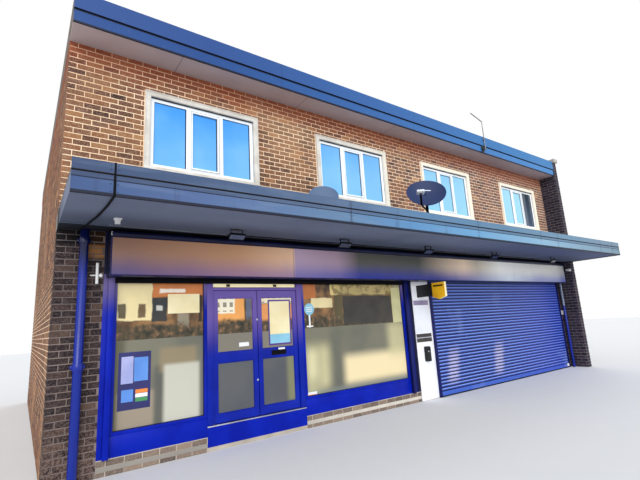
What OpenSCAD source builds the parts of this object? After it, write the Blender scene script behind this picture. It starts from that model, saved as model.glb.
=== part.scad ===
// Corner shop at the end of a two-storey parade: brick walls, a cast canopy over the
// pavement, a blue metal shopfront with double doors, and a flat roof with deep eaves.
// Millimetres. X runs along the front, Y into the building, Z up. The origin is the
// middle of the whole outline at the lowest ground, so the left end is at -building_w/2.

/* [Building] */
// Width from the cut at the party wall to the outer face of the end wall
building_w = 13830; // [13200:10:15000]
// Depth from the front wall face to the rear wall face
building_d = 9000; // [7000:50:12000]
// Thickness of the brick walls
wall_t = 225; // [200:5:300]
// Height of the shop floor above the lowest ground
floor_h = 355; // [300:5:420]
// Thickness of the first floor and of the canopy slab
slab_t = 220; // [180:5:260]
// Thickness of the felt on the canopy and on the roof
felt_t = 30; // [20:5:50]

/* [Canopy] */
// Underside of the canopy above the ground
canopy_z = 3200; // [3000:10:3600]
// How far the canopy stands out from the front wall, over the cable on its fascia
canopy_out = 1800; // [1300:10:2400]
// Height of the canopy's fascia
canopy_fascia_h = 365; // [320:5:450]
// How far the canopy's fascia hangs below its underside
canopy_drop = 15; // [10:1:30]
// Height of the fascia's lower board
canopy_board_h = 172; // [120:1:195]
// Height up to the groove under the fascia's upper band
canopy_band_h = 227; // [205:1:260]
// Thickness of the cable that is clipped to the canopy
cable_d = 8; // [6:0.5:10]

/* [Roof] */
// Underside of the eaves above the ground
eaves_z = 6035; // [5900:5:6600]
// How far the eaves stand out from the walls
eaves_out = 490; // [350:5:700]
// Height of the roof fascia
roof_fascia_h = 483; // [420:5:560]
// Height of the lower, set-back band of the roof fascia
roof_band_h = 213; // [150:5:260]
// Height of the coping on the end wall
coping_h = 70; // [50:5:100]

/* [First-floor windows] */
// Middles of the first three windows, from the left end
window_x = [2045, 5335, 8520]; // [1300:5:9000]
// Middle of the last window, from the outer face of the end wall
last_window_gap = 1825; // [1400:5:2000]
// Width of a window over its cast surround
window_w = 1970; // [1500:10:2300]
// Height of a window over its cast surround
window_h = 1358; // [1000:5:1400]
// Underside of the surrounds above the ground
window_z = 4199; // [3900:5:4400]
// Face width of the cast surround
surround_w = 85; // [60:5:120]
// How far the surround stands out from the brick
surround_out = 30; // [10:5:60]
// Face width of the frame's bars
frame_w = 62; // [50:1:80]
// Depth of the frame
frame_d = 70; // [55:5:90]
// Width of the opening casement's bars
sash_w = 42; // [30:1:55]

/* [Shopfront] */
// Width of the brick pier at the left end
pier_w = 585; // [450:5:750]
// Width of the post beside the pier
post_w = 135; // [100:5:180]
// Width of the left shop window
left_window_w = 1335; // [1000:5:1700]
// Width of the door bay over its posts
door_bay_w = 1765; // [1500:5:2000]
// Width of the right shop window
right_window_w = 2655; // [2000:5:3000]
// Width of the post between window and panel
middle_post_w = 270; // [200:5:350]
// Width of the white panel
panel_w = 555; // [400:5:700]
// Width of the brick jamb right of the shutter
jamb_w = 240; // [200:5:320]
// Underside of the beam over the shopfront
head_z = 2600; // [2560:5:2700]
// Top of the brick plinth under the windows
plinth_h = 203; // [150:1:260]
// Top of the stall risers, where the glass begins
sill_z = 467; // [430:1:600]
// Depth of the shopfront's posts and frames
front_d = 100; // [80:5:120]
// Face width of the shop windows' frames
shop_frame_w = 45; // [35:1:60]

/* [Doors] */
// Face width of the door posts
door_post_w = 100; // [70:5:130]
// Underside of the head over the doors
door_head_z = 2370; // [2200:5:2420]
// Thickness of a door leaf
leaf_t = 50; // [40:1:60]
// Width of the leaf's upright stiles
stile_w = 76; // [60:1:100]
// Height of the leaf's top rail
top_rail_h = 117; // [80:1:140]
// Height of the leaf's middle rail
mid_rail_h = 157; // [100:1:180]
// Height of the leaf's bottom rail
bottom_rail_h = 127; // [100:1:160]
// Middle of the middle rail above the shop floor
mid_rail_z = 953; // [850:1:1050]
// Gap between a leaf and its post, and over its head
leaf_gap = 6; // [5:0.5:8]
// Gap between the two leaves
meeting_gap = 12; // [11:0.5:15]
// Diameter of the hinges' knuckles
knuckle_dia = 18; // [14:1:22]

/* [Shutter] */
// Height of one slat of the roller shutter
slat_h = 75; // [65:1:90]
// Width of a guide channel
guide_w = 75; // [60:1:90]
// Depth of a guide channel
guide_d = 55; // [50:1:70]
// Height of the shutter's bottom rail
shutter_rail_h = 90; // [70:1:120]
// Height of the sill that the shutter closes on
shutter_sill_h = 20; // [10:1:40]
// Underside of the raised shutter over the windows
raised_z = 2474; // [2440:1:2490]

/* [Sign] */
// Underside of the sign panels
sign_z = 2546; // [2500:1:2570]
// Height of the sign panels
sign_h = 524; // [450:1:540]
// How far the sign's face stands out from the wall
sign_out = 300; // [220:5:350]
// Left end of the sign, from the left end of the building
sign_left = 615; // [500:5:700]
// Clear space between the sign's right end and the end wall
sign_right_gap = 60; // [20:5:200]
// Width of the sign's left panel
left_sign_w = 2885; // [2400:1:3200]
// Width of the sign's right panel
right_sign_w = 2949; // [2400:1:3200]

/* [Fittings] */
// Diameter of the large downpipe on the left pier
pipe_dia = 110; // [80:5:125]
// Middle of the large downpipe from the left end
pipe_x = 320; // [150:5:450]
// Diameter of the small downpipe by the end wall
small_pipe_dia = 65; // [50:5:75]
// Places of the first four floodlights along the front, from the left end
light_x = [2225, 4285, 6530, 8965]; // [1500:5:9500]
// Place of the last floodlight, from the outer face of the end wall
last_light_gap = 1965; // [1500:5:2600]
// Distance of the floodlights from the front wall
light_y = 780; // [600:5:1200]
// Wide dish on the canopy: from the left end, out from the wall, above the ground
wide_dish = [5965, 1330, 4092]; // [300:1:12000]
// Small dish on the wall: from the left end, out from the wall, above the ground
small_dish = [4200, 350, 4080]; // [300:1:12000]
// Aerial: from the left end, height of its foot, height of its top
aerial = [9715, 6110, 7030]; // [300:5:12000]

/* [Hidden] */

eps = 1;                                   // overrun of a cut past a face
seat = 0.3;                                // running clearance where two pieces seat
board_t = 20;                              // soffit and fascia boards
fascia_t = 40;                             // canopy fascia
band_step = 20;                            // how far the roof fascia's upper band stands out
canopy_step = 8;                           // same on the canopy
canopy_groove = 9;                         // dark gap between the canopy fascia's bands
strip_step = 3;                            // set-back of the strip under that gap
shutter_rail_t = 28;                       // bottom rails of the shutters
shutter_end_gap = 8;                       // between a shutter's end and its guide's web
sign_panel_t = 15;                         // face panels of the sign
white_panel_t = 20;                        // board on the pier beside the shutter
glass_t = 24;                              // sealed double glazing
single_glass_t = 10;                       // shop window and door glass
frame_back = surround_out + 25;            // face of the window frame behind the surround
rear_window_x = [3200, 10400];             // ground-floor windows at the back, from the left
rear_window_z = 1500;
rear_door_x = 6900;
rear_door_w = 1000;
rear_door_h = 2100;

wall_top = eaves_z + board_t;
roof_z = eaves_z + roof_fascia_h;          // top of the roof fascia
floor_top = canopy_z + slab_t;             // first-floor level
fascia_low = canopy_z - canopy_drop;       // bottom and top of the canopy's fascia
fascia_top = fascia_low + canopy_fascia_h;
fascia_y = cable_d - canopy_out;           // its front, behind the cable
inner_w = building_w - wall_t;             // from the cut to the end wall's inner face
overall_d = canopy_out + building_d + eaves_out;
front_y = canopy_out - overall_d / 2;      // where the front wall face lies

// Edges along the front, from the left end
post_x = pier_w;
left_window_x = post_x + post_w;
door_bay_x = left_window_x + left_window_w;
right_window_x = door_bay_x + door_bay_w;
middle_post_x = right_window_x + right_window_w;
panel_x = middle_post_x + middle_post_w;
guide_x = panel_x + panel_w;
jamb_x = inner_w - jamb_w;
sign_right = inner_w - sign_right_gap;
windows = concat(window_x, [building_w - last_window_gap]);
lights = concat(light_x, [building_w - last_light_gap]);

door_x = door_bay_x + door_post_w;
door_w = door_bay_w - 2 * door_post_w;
leaf_w = (door_w - 2 * leaf_gap - meeting_gap) / 2;
leaf_z = floor_h + leaf_gap + 2;
leaf_h = door_head_z - leaf_gap - leaf_z;
leaf_y = 30;                               // face of the leaves behind the wall face
leaf_back = leaf_y + leaf_t;               // their back, flush with the posts' back
threshold_h = 25;

// Hinges stand on the backs of the leaves, over the gap beside the post
hinge_zs = [180, leaf_h / 2, leaf_h - 180];
hinge_r = knuckle_dia / 2;
knuckle_h = 30;
hinge_plate_t = 3;
hinge_plate_w = 32;
pin_r = 4;

// Puts what is drawn from the left end and the front wall face into the part's frame
module place() {
  translate([-building_w / 2, front_y, 0]) children();
}

// A block from two corners
module block(low, high) {
  translate(low) cube(high - low);
}

// An outline in X and Z, drawn with its face at y and pushed back by d
module upright(y, d) {
  translate([0, y + d, 0]) rotate([90, 0, 0]) linear_extrude(d) children();
}

// An outline in Y and Z, drawn out along X from x0 to x1
module along_front(x0, x1) {
  translate([x0, 0, 0]) rotate([90, 0, 90]) linear_extrude(x1 - x0) children();
}

// Flat ring of a frame, from its lower left corner
module ring(w, h, bar) {
  difference() {
    square([w, h]);
    translate([bar, bar]) square([w - 2 * bar, h - 2 * bar]);
  }
}

// Rectangle with rounded corners
module rounded(w, h, r) {
  translate([r, 0]) square([w - 2 * r, h]);
  translate([0, r]) square([w, h - 2 * r]);
  for (x = [r, w - r], y = [r, h - r]) translate([x, y]) circle(r, $fn = 24);
}

// Calls its children at each window: four above in front, four above behind, two below
module at_front_windows() {
  for (x = windows) translate([x, 0, window_z]) children();
}

module at_rear_windows() {
  for (x = windows) translate([x, building_d, window_z]) mirror([0, 1, 0]) children();
}

module at_lower_windows() {
  for (x = rear_window_x) translate([x, building_d, rear_window_z]) mirror([0, 1, 0]) children();
}

module at_windows() {
  at_front_windows() children();
  at_rear_windows() children();
  at_lower_windows() children();
}

module window_hole() {
  translate([-window_w / 2, -eps, 0]) cube([window_w, wall_t + 2 * eps, window_h]);
}

// Brick and concrete

module ground_floor() {
  color("darkgray") place()
    block([wall_t, wall_t, 0], [inner_w, building_d - wall_t, floor_h]);
}

module party_wall() {
  color("rosybrown") place()
    block([0, wall_t, 0], [wall_t, building_d - wall_t, wall_top]);
}

module front_pier() {
  color("dimgray") place() block([0, 0, 0], [pier_w, wall_t, canopy_z]);
}

// The pier behind the white panel and the jamb right of the shutter
module shop_piers() {
  color("dimgray") place() {
    block([panel_x, 0, 0], [guide_x + guide_w + 5, wall_t, head_z]);
    block([jamb_x, 0, 0], [inner_w, wall_t, head_z]);
  }
}

// Stands out past the front and the back, with a slot where the canopy passes
module end_wall() {
  color("#4a3f40") place() along_front(inner_w, building_w) difference() {
    translate([-eaves_out, 0]) square([building_d + 2 * eaves_out, roof_z]);
    translate([-eaves_out - eps, canopy_z]) square([eaves_out + eps, slab_t]);
  }
}

module end_wall_coping() {
  overhang = 25;
  color("gainsboro") place() along_front(inner_w, building_w)
    translate([-eaves_out, roof_z]) polygon([
      [0, 0], [building_d + 2 * eaves_out, 0],
      [building_d + 2 * eaves_out, coping_h - overhang / 2],
      [building_d + 2 * eaves_out - overhang, coping_h],
      [overhang, coping_h], [0, coping_h - overhang / 2]
    ]);
}

// Brick plinth under the windows, a full step under the doors, and the shutter's sill
module shop_plinth() {
  color("silver") place() {
    for (run = [[post_x, door_bay_x], [right_window_x, panel_x]])
      along_front(run[0], run[1]) polygon([
        [0, 0], [wall_t, 0], [wall_t, floor_h], [front_d, floor_h],
        [front_d, plinth_h], [0, plinth_h]
      ]);
    block([door_bay_x, 0, 0], [right_window_x, wall_t, floor_h - threshold_h]);
    block([guide_x + guide_w + 5, -guide_d, 0], [jamb_x, wall_t, shutter_sill_h]);
  }
}

module shop_beam() {
  color("gray") place() block([pier_w, 0, head_z], [inner_w, wall_t, canopy_z]);
}

module rear_wall_lower() {
  color("#b07a5a") place() difference() {
    block([0, building_d - wall_t, 0], [inner_w, building_d, canopy_z]);
    at_lower_windows() window_hole();
    block([rear_door_x, building_d - wall_t - eps, floor_h],
      [rear_door_x + rear_door_w, building_d + eps, floor_h + rear_door_h]);
  }
}

// Flush steel door in its frame at the back, with a sunk panel
module rear_door() {
  sink = 20;
  border = 130;
  color("royalblue") place() translate([rear_door_x, building_d - 60, floor_h]) difference() {
    cube([rear_door_w, 50, rear_door_h]);
    translate([border, 50 - sink, border])
      cube([rear_door_w - 2 * border, sink + eps, rear_door_h - 2 * border]);
  }
}

module first_floor() {
  color("darkgray") place() translate([0, 0, canopy_z]) linear_extrude(slab_t) union() {
    translate([wall_t, 0]) square([inner_w - wall_t, building_d]);
    square([wall_t, wall_t]);
    translate([0, building_d - wall_t]) square([wall_t, wall_t]);
  }
}

// Runs through the end wall, which stands on it
module canopy_slab() {
  color("slategray") place() translate([0, 0, canopy_z]) linear_extrude(slab_t) polygon([
    [0, fascia_y + fascia_t], [building_w - fascia_t, fascia_y + fascia_t],
    [building_w - fascia_t, -eaves_out], [building_w, -eaves_out], [building_w, 0], [0, 0]
  ]);
}

// Lower board, narrow strip, groove and upper band, with a return on the right-hand end
module canopy_fascia() {
  profile = [
    [0, canopy_band_h + canopy_groove], [0, canopy_fascia_h], [fascia_t, canopy_fascia_h],
    [fascia_t, 0], [canopy_step, 0], [canopy_step, canopy_board_h],
    [strip_step, canopy_board_h], [strip_step, canopy_band_h],
    [2 * canopy_step, canopy_band_h], [2 * canopy_step, canopy_band_h + canopy_groove]
  ];
  color("steelblue") place() union() {
    along_front(0, building_w) translate([fascia_y, fascia_low]) polygon(profile);
    translate([building_w, -eaves_out, fascia_low]) rotate([90, 0, 0])
      linear_extrude(-fascia_y - eaves_out) mirror([1, 0]) polygon(profile);
  }
}

// Comes up behind the fascia, runs down its face and back along the soffit to the pier
module canopy_cable() {
  x = 396;
  back = fascia_y + fascia_t;
  color("#151515") place() along_front(x, x + cable_d) union() {
    translate([back, floor_top + felt_t])
      square([cable_d, fascia_top + cable_d - floor_top - felt_t]);
    translate([-canopy_out, fascia_top]) square([back + cable_d + canopy_out, cable_d]);
    translate([-canopy_out, fascia_low - cable_d])
      square([cable_d, fascia_top - fascia_low + 2 * cable_d]);
    translate([-canopy_out, fascia_low - cable_d])
      square([back + cable_d + canopy_out, cable_d]);
    translate([back, fascia_low - cable_d]) square([cable_d, canopy_drop + cable_d]);
    translate([back, canopy_z - cable_d]) square([-back, cable_d]);
  }
}

module front_wall_upper() {
  color("#b07a5a") place() difference() {
    block([0, 0, floor_top], [inner_w, wall_t, wall_top]);
    at_front_windows() window_hole();
  }
}

module rear_wall_upper() {
  color("#b07a5a") place() difference() {
    block([0, building_d - wall_t, floor_top], [inner_w, building_d, wall_top]);
    at_rear_windows() window_hole();
  }
}

// Roof

module roof_deck() {
  color("tan") place() block([0, -eaves_out + band_step + board_t, wall_top],
    [inner_w, building_d + eaves_out - band_step - board_t, roof_z - felt_t - board_t]);
}

module eaves_soffit() {
  color("rosybrown") place() {
    block([0, -eaves_out + band_step + board_t, eaves_z], [inner_w, 0, wall_top]);
    block([0, building_d, eaves_z],
      [inner_w, building_d + eaves_out - band_step - board_t, wall_top]);
  }
}

// Boards in two bands along the front and the back
module roof_fascia() {
  profile = [
    [0, roof_band_h], [0, roof_fascia_h], [band_step + board_t, roof_fascia_h],
    [band_step + board_t, 0], [band_step, 0], [band_step, roof_band_h]
  ];
  color("#3f62a8") place() {
    along_front(0, inner_w) translate([-eaves_out, eaves_z]) polygon(profile);
    translate([0, building_d, 0]) mirror([0, 1, 0])
      along_front(0, inner_w) translate([-eaves_out, eaves_z]) polygon(profile);
  }
}

module felt_roofing() {
  color("#50545a") place() {
    block([0, -eaves_out + band_step + board_t, roof_z - felt_t - board_t],
      [inner_w, building_d + eaves_out - band_step - board_t, roof_z - board_t]);
    translate([0, 0, floor_top]) linear_extrude(felt_t) polygon([
      [0, fascia_y + fascia_t], [building_w - fascia_t, fascia_y + fascia_t],
      [building_w - fascia_t, -eaves_out], [inner_w, -eaves_out], [inner_w, 0], [0, 0]
    ]);
  }
}

// Windows

// Cast surround with a sloping sill
module window_surrounds() {
  sill_out = 25;
  color("antiquewhite") place() at_windows() translate([-window_w / 2, 0, 0]) {
    union() {
      upright(-surround_out, surround_out + wall_t) ring(window_w, window_h, surround_w);
      along_front(0, window_w) translate([-surround_out - sill_out, 0])
        polygon([[0, 0], [sill_out, 0], [sill_out, surround_w], [0, surround_w - sill_out]]);
    }
  }
}

// Frame of three lights, the middle one an opening casement standing slightly proud
module window_frames() {
  w = window_w - 2 * surround_w;
  h = window_h - 2 * surround_w;
  light_w = (w - 4 * frame_w) / 3;
  lip = 12;
  color("white") place() at_windows()
    translate([-w / 2, frame_back - surround_out, surround_w]) union() {
      upright(0, frame_d) difference() {
        square([w, h]);
        for (i = [0:2]) translate([frame_w + i * (light_w + frame_w), frame_w])
          square([light_w, h - 2 * frame_w]);
      }
      upright(-lip, frame_d) translate([frame_w + light_w + frame_w, frame_w])
        ring(light_w, h - 2 * frame_w, sash_w);
    }
}

module window_glass() {
  w = window_w - 2 * surround_w;
  h = window_h - 2 * surround_w;
  light_w = (w - 4 * frame_w) / 3;
  y = frame_back - surround_out + (frame_d - glass_t) / 2;
  color("lightblue") place() at_windows() translate([-w / 2, y, surround_w])
    for (i = [0:2]) {
      in = i == 1 ? sash_w : 0;
      translate([frame_w + i * (light_w + frame_w) + in, 0, frame_w + in])
        cube([light_w - 2 * in, glass_t, h - 2 * frame_w - 2 * in]);
    }
}

// Shopfront

module shopfront_posts() {
  color("blue") place() {
    block([post_x, 0, plinth_h], [left_window_x, front_d, head_z]);
    block([middle_post_x, 0, plinth_h], [panel_x, front_d, head_z]);
  }
}

module stall_risers() {
  color("blue") place() {
    block([left_window_x, 0, plinth_h], [door_bay_x, front_d, sill_z]);
    block([right_window_x, 0, plinth_h], [middle_post_x, front_d, sill_z]);
  }
}

module shop_window_frame(x, w) {
  color("blue") place() translate([x, 0, sill_z])
    upright(0, front_d) ring(w, head_z - sill_z, shop_frame_w);
}

module left_window_frame() {
  shop_window_frame(left_window_x, left_window_w);
}

module right_window_frame() {
  shop_window_frame(right_window_x, right_window_w);
}

// Panes of the two shop windows and of the light over the doors
module shop_glass() {
  y = (front_d - single_glass_t) / 2;
  color("lightgray") place() {
    for (bay = [[left_window_x, left_window_w], [right_window_x, right_window_w]])
      block([bay[0] + shop_frame_w, y, sill_z + shop_frame_w],
        [bay[0] + bay[1] - shop_frame_w, y + single_glass_t, head_z - shop_frame_w]);
    block([door_x, y, door_head_z + shop_frame_w],
      [door_x + door_w, y + single_glass_t, head_z - shop_frame_w]);
  }
}

module door_posts() {
  color("blue") place() for (x = [door_bay_x, door_x + door_w])
    block([x, 0, floor_h], [x + door_post_w, leaf_back, head_z]);
}

// The rail over the doors and the rail over the light above it
module door_head() {
  color("blue") place() {
    block([door_x, 0, door_head_z], [door_x + door_w, leaf_back, door_head_z + shop_frame_w]);
    block([door_x, 0, head_z - shop_frame_w], [door_x + door_w, leaf_back, head_z]);
  }
}

module door_threshold() {
  color("silver") place() along_front(door_bay_x, right_window_x)
    translate([0, floor_h - threshold_h]) polygon([
      [0, 0], [wall_t, 0], [wall_t, threshold_h], [threshold_h, threshold_h],
      [0, threshold_h - 8]
    ]);
}

// One leaf with its hinge knuckles, drawn from its hinge edge towards +X
module leaf() {
  mid_low = mid_rail_z - mid_rail_h / 2;
  union() {
    upright(leaf_y, leaf_t) difference() {
      square([leaf_w, leaf_h]);
      translate([stile_w, bottom_rail_h]) square([leaf_w - 2 * stile_w, mid_low - bottom_rail_h]);
      translate([stile_w, mid_low + mid_rail_h])
        square([leaf_w - 2 * stile_w, leaf_h - top_rail_h - mid_low - mid_rail_h]);
    }
    for (z = hinge_zs) translate([-leaf_gap / 2, leaf_back + hinge_r, z - knuckle_h / 2])
      difference() {
        union() {
          cylinder(r = hinge_r, h = knuckle_h, $fn = 32);
          translate([0, -hinge_r, 0]) translate([leaf_gap / 2, 0, 0])
            cube([hinge_plate_w, hinge_plate_t, knuckle_h]);
          translate([0, -hinge_r, 0]) cube([hinge_r, hinge_plate_t, knuckle_h]);
        }
        translate([0, 0, -eps]) cylinder(r = pin_r + seat, h = knuckle_h + 2 * eps, $fn = 32);
      }
  }
}

// The fixed half of one leaf's hinges: two knuckles each, with the pin between them
module fixed_hinges() {
  translate([-leaf_gap / 2, leaf_back + hinge_r, 0]) for (z = hinge_zs) union() {
    for (side = [-1, 1]) translate([0, 0, z + side * (knuckle_h + seat) - knuckle_h / 2]) {
      cylinder(r = hinge_r, h = knuckle_h, $fn = 32);
      translate([-leaf_gap / 2 - hinge_plate_w, -hinge_r, 0])
        cube([hinge_plate_w + leaf_gap / 2, hinge_plate_t, knuckle_h]);
    }
    translate([0, 0, z - 1.5 * knuckle_h]) cylinder(r = pin_r, h = 3 * knuckle_h, $fn = 32);
  }
}

module leaf_glass() {
  mid_low = mid_rail_z - mid_rail_h / 2;
  y = leaf_y + (leaf_t - single_glass_t) / 2;
  w = leaf_w - 2 * stile_w;
  translate([stile_w, y, bottom_rail_h]) cube([w, single_glass_t, mid_low - bottom_rail_h]);
  translate([stile_w, y, mid_low + mid_rail_h])
    cube([w, single_glass_t, leaf_h - top_rail_h - mid_low - mid_rail_h]);
}

module at_left_leaf() {
  place() translate([door_x + leaf_gap, 0, leaf_z]) children();
}

module at_right_leaf() {
  place() translate([door_x + door_w - leaf_gap, 0, leaf_z]) mirror([1, 0, 0]) children();
}

module door_hinges() {
  color("silver") {
    at_left_leaf() fixed_hinges();
    at_right_leaf() fixed_hinges();
  }
}

module door_left() {
  color("blue") at_left_leaf() leaf();
}

module door_left_glass() {
  color("lightgray") at_left_leaf() leaf_glass();
}

module door_right() {
  color("blue") at_right_leaf() leaf();
}

module door_right_glass() {
  color("lightgray") at_right_leaf() leaf_glass();
}

// Plate on the middle rail of the right leaf, with its slot
module letter_plate() {
  w = 280;
  h = 80;
  t = 8;
  slot_w = 220;
  slot_h = 30;
  color("#202020") at_right_leaf()
    translate([leaf_w / 2 - w / 2, leaf_y - t, mid_rail_z - h / 2]) difference() {
      upright(0, t) rounded(w, h, 6);
      translate([(w - slot_w) / 2, -eps, (h - slot_h) / 2]) cube([slot_w, t / 2 + eps, slot_h]);
    }
}

// Roller shutter

// Channel in plan, open towards +X, its back against the wall face
module guide_profile() {
  slot = 30;
  sheet = 5;
  difference() {
    translate([0, -guide_d]) square([guide_w, guide_d]);
    translate([sheet, -guide_d / 2 - slot / 2]) square([guide_w, slot]);
  }
}

module guide(x, z, open_right) {
  translate([x, 0, z]) mirror([open_right ? 0 : 1, 0, 0])
    linear_extrude(sign_z - z) guide_profile();
}

// Two pairs: one for the raised shutter over the windows, one for the closed one
module shutter_guides() {
  color("mediumblue") place() {
    guide(left_window_x - guide_w, plinth_h, true);
    guide(middle_post_x + guide_w, plinth_h, false);
    guide(guide_x, 0, true);
    guide(jamb_x + guide_w, 0, false);
  }
}

// One slat: a thin curved sheet with a rolled knuckle at its foot
module slat(knuckle) {
  bulge = 10;
  sheet = 3;
  chord = slat_h - knuckle;
  r = (chord * chord / 4 + bulge * bulge) / (2 * bulge);
  intersection() {
    translate([r - bulge, slat_h / 2]) difference() {
      circle(r, $fn = 96);
      circle(r - sheet, $fn = 96);
    }
    translate([-bulge, knuckle / 2]) square([2 * bulge, slat_h - knuckle]);
  }
  circle(knuckle, $fn = 24);
}

module roller_shutter() {
  rail_top = shutter_sill_h + shutter_rail_h;
  count = floor((sign_z - seat - rail_top) / slat_h);
  knuckle = 6;
  sheet = 3;
  last = rail_top + count * slat_h;
  low_x = guide_x + shutter_end_gap;
  high_x = jamb_x + guide_w - shutter_end_gap;
  color("royalblue") place()
    along_front(low_x, high_x) translate([-guide_d / 2, 0]) union() {
      for (i = [0:count - 1]) translate([0, rail_top + i * slat_h]) slat(knuckle);
      translate([0, last]) circle(knuckle, $fn = 24);
      translate([-sheet / 2, last]) square([sheet, sign_z - seat - last]);
      translate([-shutter_rail_t / 2, shutter_sill_h]) square([shutter_rail_t, shutter_rail_h]);
    }
}

// What shows of the shutter that is rolled up behind the sign: its bottom rail
module raised_shutter() {
  low_x = left_window_x - guide_w + shutter_end_gap;
  high_x = middle_post_x + guide_w - shutter_end_gap;
  y = -(guide_d + shutter_rail_t) / 2;
  color("#14182c") place() block([low_x, y, raised_z], [high_x, y + shutter_rail_t, sign_z]);
}

// Sign

module sign_box() {
  color("midnightblue") place() block([sign_left, -sign_out + sign_panel_t, sign_z],
    [sign_right, 0, sign_z + sign_h]);
}

// Three panels with a fine joint between them
module sign_panels() {
  joint = 6;
  lefts = [sign_left, sign_left + left_sign_w + joint, sign_right - right_sign_w];
  rights = [sign_left + left_sign_w, sign_right - right_sign_w - joint, sign_right];
  color("slateblue") place() for (i = [0:2])
    block([lefts[i], -sign_out, sign_z],
      [rights[i], -sign_out + sign_panel_t, sign_z + sign_h]);
}

// Round-nosed light trough along the top of the sign
module sign_hood() {
  hood_h = 90;
  hood_out = 40;
  hood_d = 170;
  color("midnightblue") place() along_front(sign_left, sign_right)
    translate([-sign_out - hood_out, sign_z + sign_h]) union() {
      translate([hood_h / 2, 0]) square([hood_d - hood_h / 2, hood_h]);
      translate([hood_h / 2, hood_h / 2]) circle(hood_h / 2, $fn = 48);
    }
}

module white_panel() {
  foot = 6;
  color("white") place() block([panel_x, -white_panel_t, foot], [guide_x, 0, sign_z]);
}

// Small bin on the white panel, with its slot near the top
module wall_bin() {
  x = 205;
  w = 150;
  h = 317;
  d = 65;
  z = 800;
  corner = 25;
  side = 30;
  slot = [w - 2 * side, 25, 28];
  slot_drop = 75;
  color("#181818") place() translate([panel_x + x, -white_panel_t - d, z]) difference() {
    upright(0, d) rounded(w, h, corner);
    translate([side, -eps, h - slot_drop]) cube(slot);
  }
}

// Shield-shaped sign at right angles to the wall, on a dark plate
module projecting_sign() {
  arm_t = 40;
  shield_t = 60;
  arm_y0 = 20;
  arm_y1 = 470;
  arm_z = 2190;
  arm_h = 265;
  shield_w = 335;
  shield_h = 305;
  shield_z = 2160;
  tip = 50;
  x = panel_x + 175;
  color("gold") place() union() {
    block([x - arm_t / 2, -arm_y1, arm_z], [x + arm_t / 2, -arm_y0, arm_z + arm_h]);
    translate([x - shield_t / 2, -arm_y1 - shield_w, shield_z]) rotate([90, 0, 90])
      linear_extrude(shield_t) polygon([
        [0, 0], [shield_w / 2, -tip], [shield_w, 0], [shield_w, shield_h], [0, shield_h]
      ]);
  }
}

// Fittings

// Flat lamp in a strap bracket under the canopy, its glass turned down to the pavement
module floodlight() {
  plate = [80, 60, 8];
  strap_w = 190;
  strap_h = 90;
  strap_d = 25;
  strap_t = 6;
  lamp = [245, 110, 40];
  tilt = -30;
  translate([-plate[0] / 2, -plate[1] / 2, -plate[2]]) cube(plate);
  translate([-strap_w / 2, 0, -strap_h]) upright(-strap_d / 2, strap_d) difference() {
    square([strap_w, strap_h]);
    translate([strap_t, -eps]) square([strap_w - 2 * strap_t, strap_h - strap_t + eps]);
  }
  translate([0, 0, -strap_h]) rotate([tilt, 0, 0])
    translate([-lamp[0] / 2, -lamp[1] / 2, -lamp[2]]) cube(lamp);
}

module floodlights() {
  color("#1a1a1a") place() for (x = lights)
    translate([x, -light_y, canopy_z]) floodlight();
}

// Large downpipe with two collars on the pier, and a small one beside the end wall
module downpipes() {
  collar = 12;
  collar_h = 90;
  collar_zs = [1345, 3000];
  strap = 30;
  strap_h = 40;
  strap_rise = 25;
  stand = pipe_dia / 2 + 20;
  small_x = inner_w - 110;
  small_y = -140;
  bracket_zs = [700, 2000];
  color("mediumblue") place() {
    union() {
      translate([pipe_x, -stand, 0]) cylinder(d = pipe_dia, h = canopy_z, $fn = 48);
      for (z = collar_zs) {
        translate([pipe_x, -stand, z])
          cylinder(d = pipe_dia + 2 * collar, h = collar_h, $fn = 48);
        block([pipe_x - pipe_dia / 2 - strap, -stand, z + strap_rise],
          [pipe_x + pipe_dia / 2 + strap, 0, z + strap_rise + strap_h]);
      }
    }
    union() {
      translate([small_x, small_y, 0]) cylinder(d = small_pipe_dia, h = sign_z, $fn = 36);
      for (z = bracket_zs)
        block([small_x, small_y - strap / 2, z], [inner_w, small_y + strap / 2, z + strap]);
    }
  }
}

// Thin spherical cap with an oval rim, its hollow face towards -Y
module dish(w, h, depth) {
  r = (w * w / 4 + depth * depth) / (2 * depth);
  sheet = 6;
  step = 9;
  intersection() {
    translate([0, depth - r, 0]) difference() {
      sphere(r + sheet, $fn = 96);
      sphere(r, $fn = 96);
    }
    rotate([-90, 0, 0]) linear_extrude(depth + 2 * sheet)
      polygon([for (a = [0:step:360 - step]) [w / 2 * cos(a), h / 2 * sin(a)]]);
  }
}

// Wide dish on a pole on the canopy, with an arm that holds its receivers
module dish_on_pole() {
  foot = floor_top + felt_t;
  pole_dia = 42;
  foot_dia = 200;
  foot_t = 12;
  turn = -40;
  tilt = -22;
  bowl = [760, 620, 80];
  bowl_y = -90;
  hub = [40, 60, 40];
  arm_from = [0, -45, -290];
  arm_dia = 22;
  arm_l = 450;
  arm_rise = 58;
  heads = [140, 60, 45];
  heads_from = [-70, -450, -85];
  translate([wide_dish[0], -wide_dish[1], foot])
    cylinder(d = pole_dia, h = wide_dish[2] - foot, $fn = 24);
  translate([wide_dish[0], -wide_dish[1], foot]) cylinder(d = foot_dia, h = foot_t, $fn = 32);
  translate([wide_dish[0], -wide_dish[1], wide_dish[2]]) rotate([0, 0, turn])
    rotate([tilt, 0, 0]) {
      translate([0, bowl_y, 0]) dish(bowl[0], bowl[1], bowl[2]);
      translate(-hub / 2) cube(hub);
      translate(arm_from) rotate([arm_rise, 0, 0]) cylinder(d = arm_dia, h = arm_l, $fn = 16);
      translate(heads_from) cube(heads);
    }
}

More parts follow.
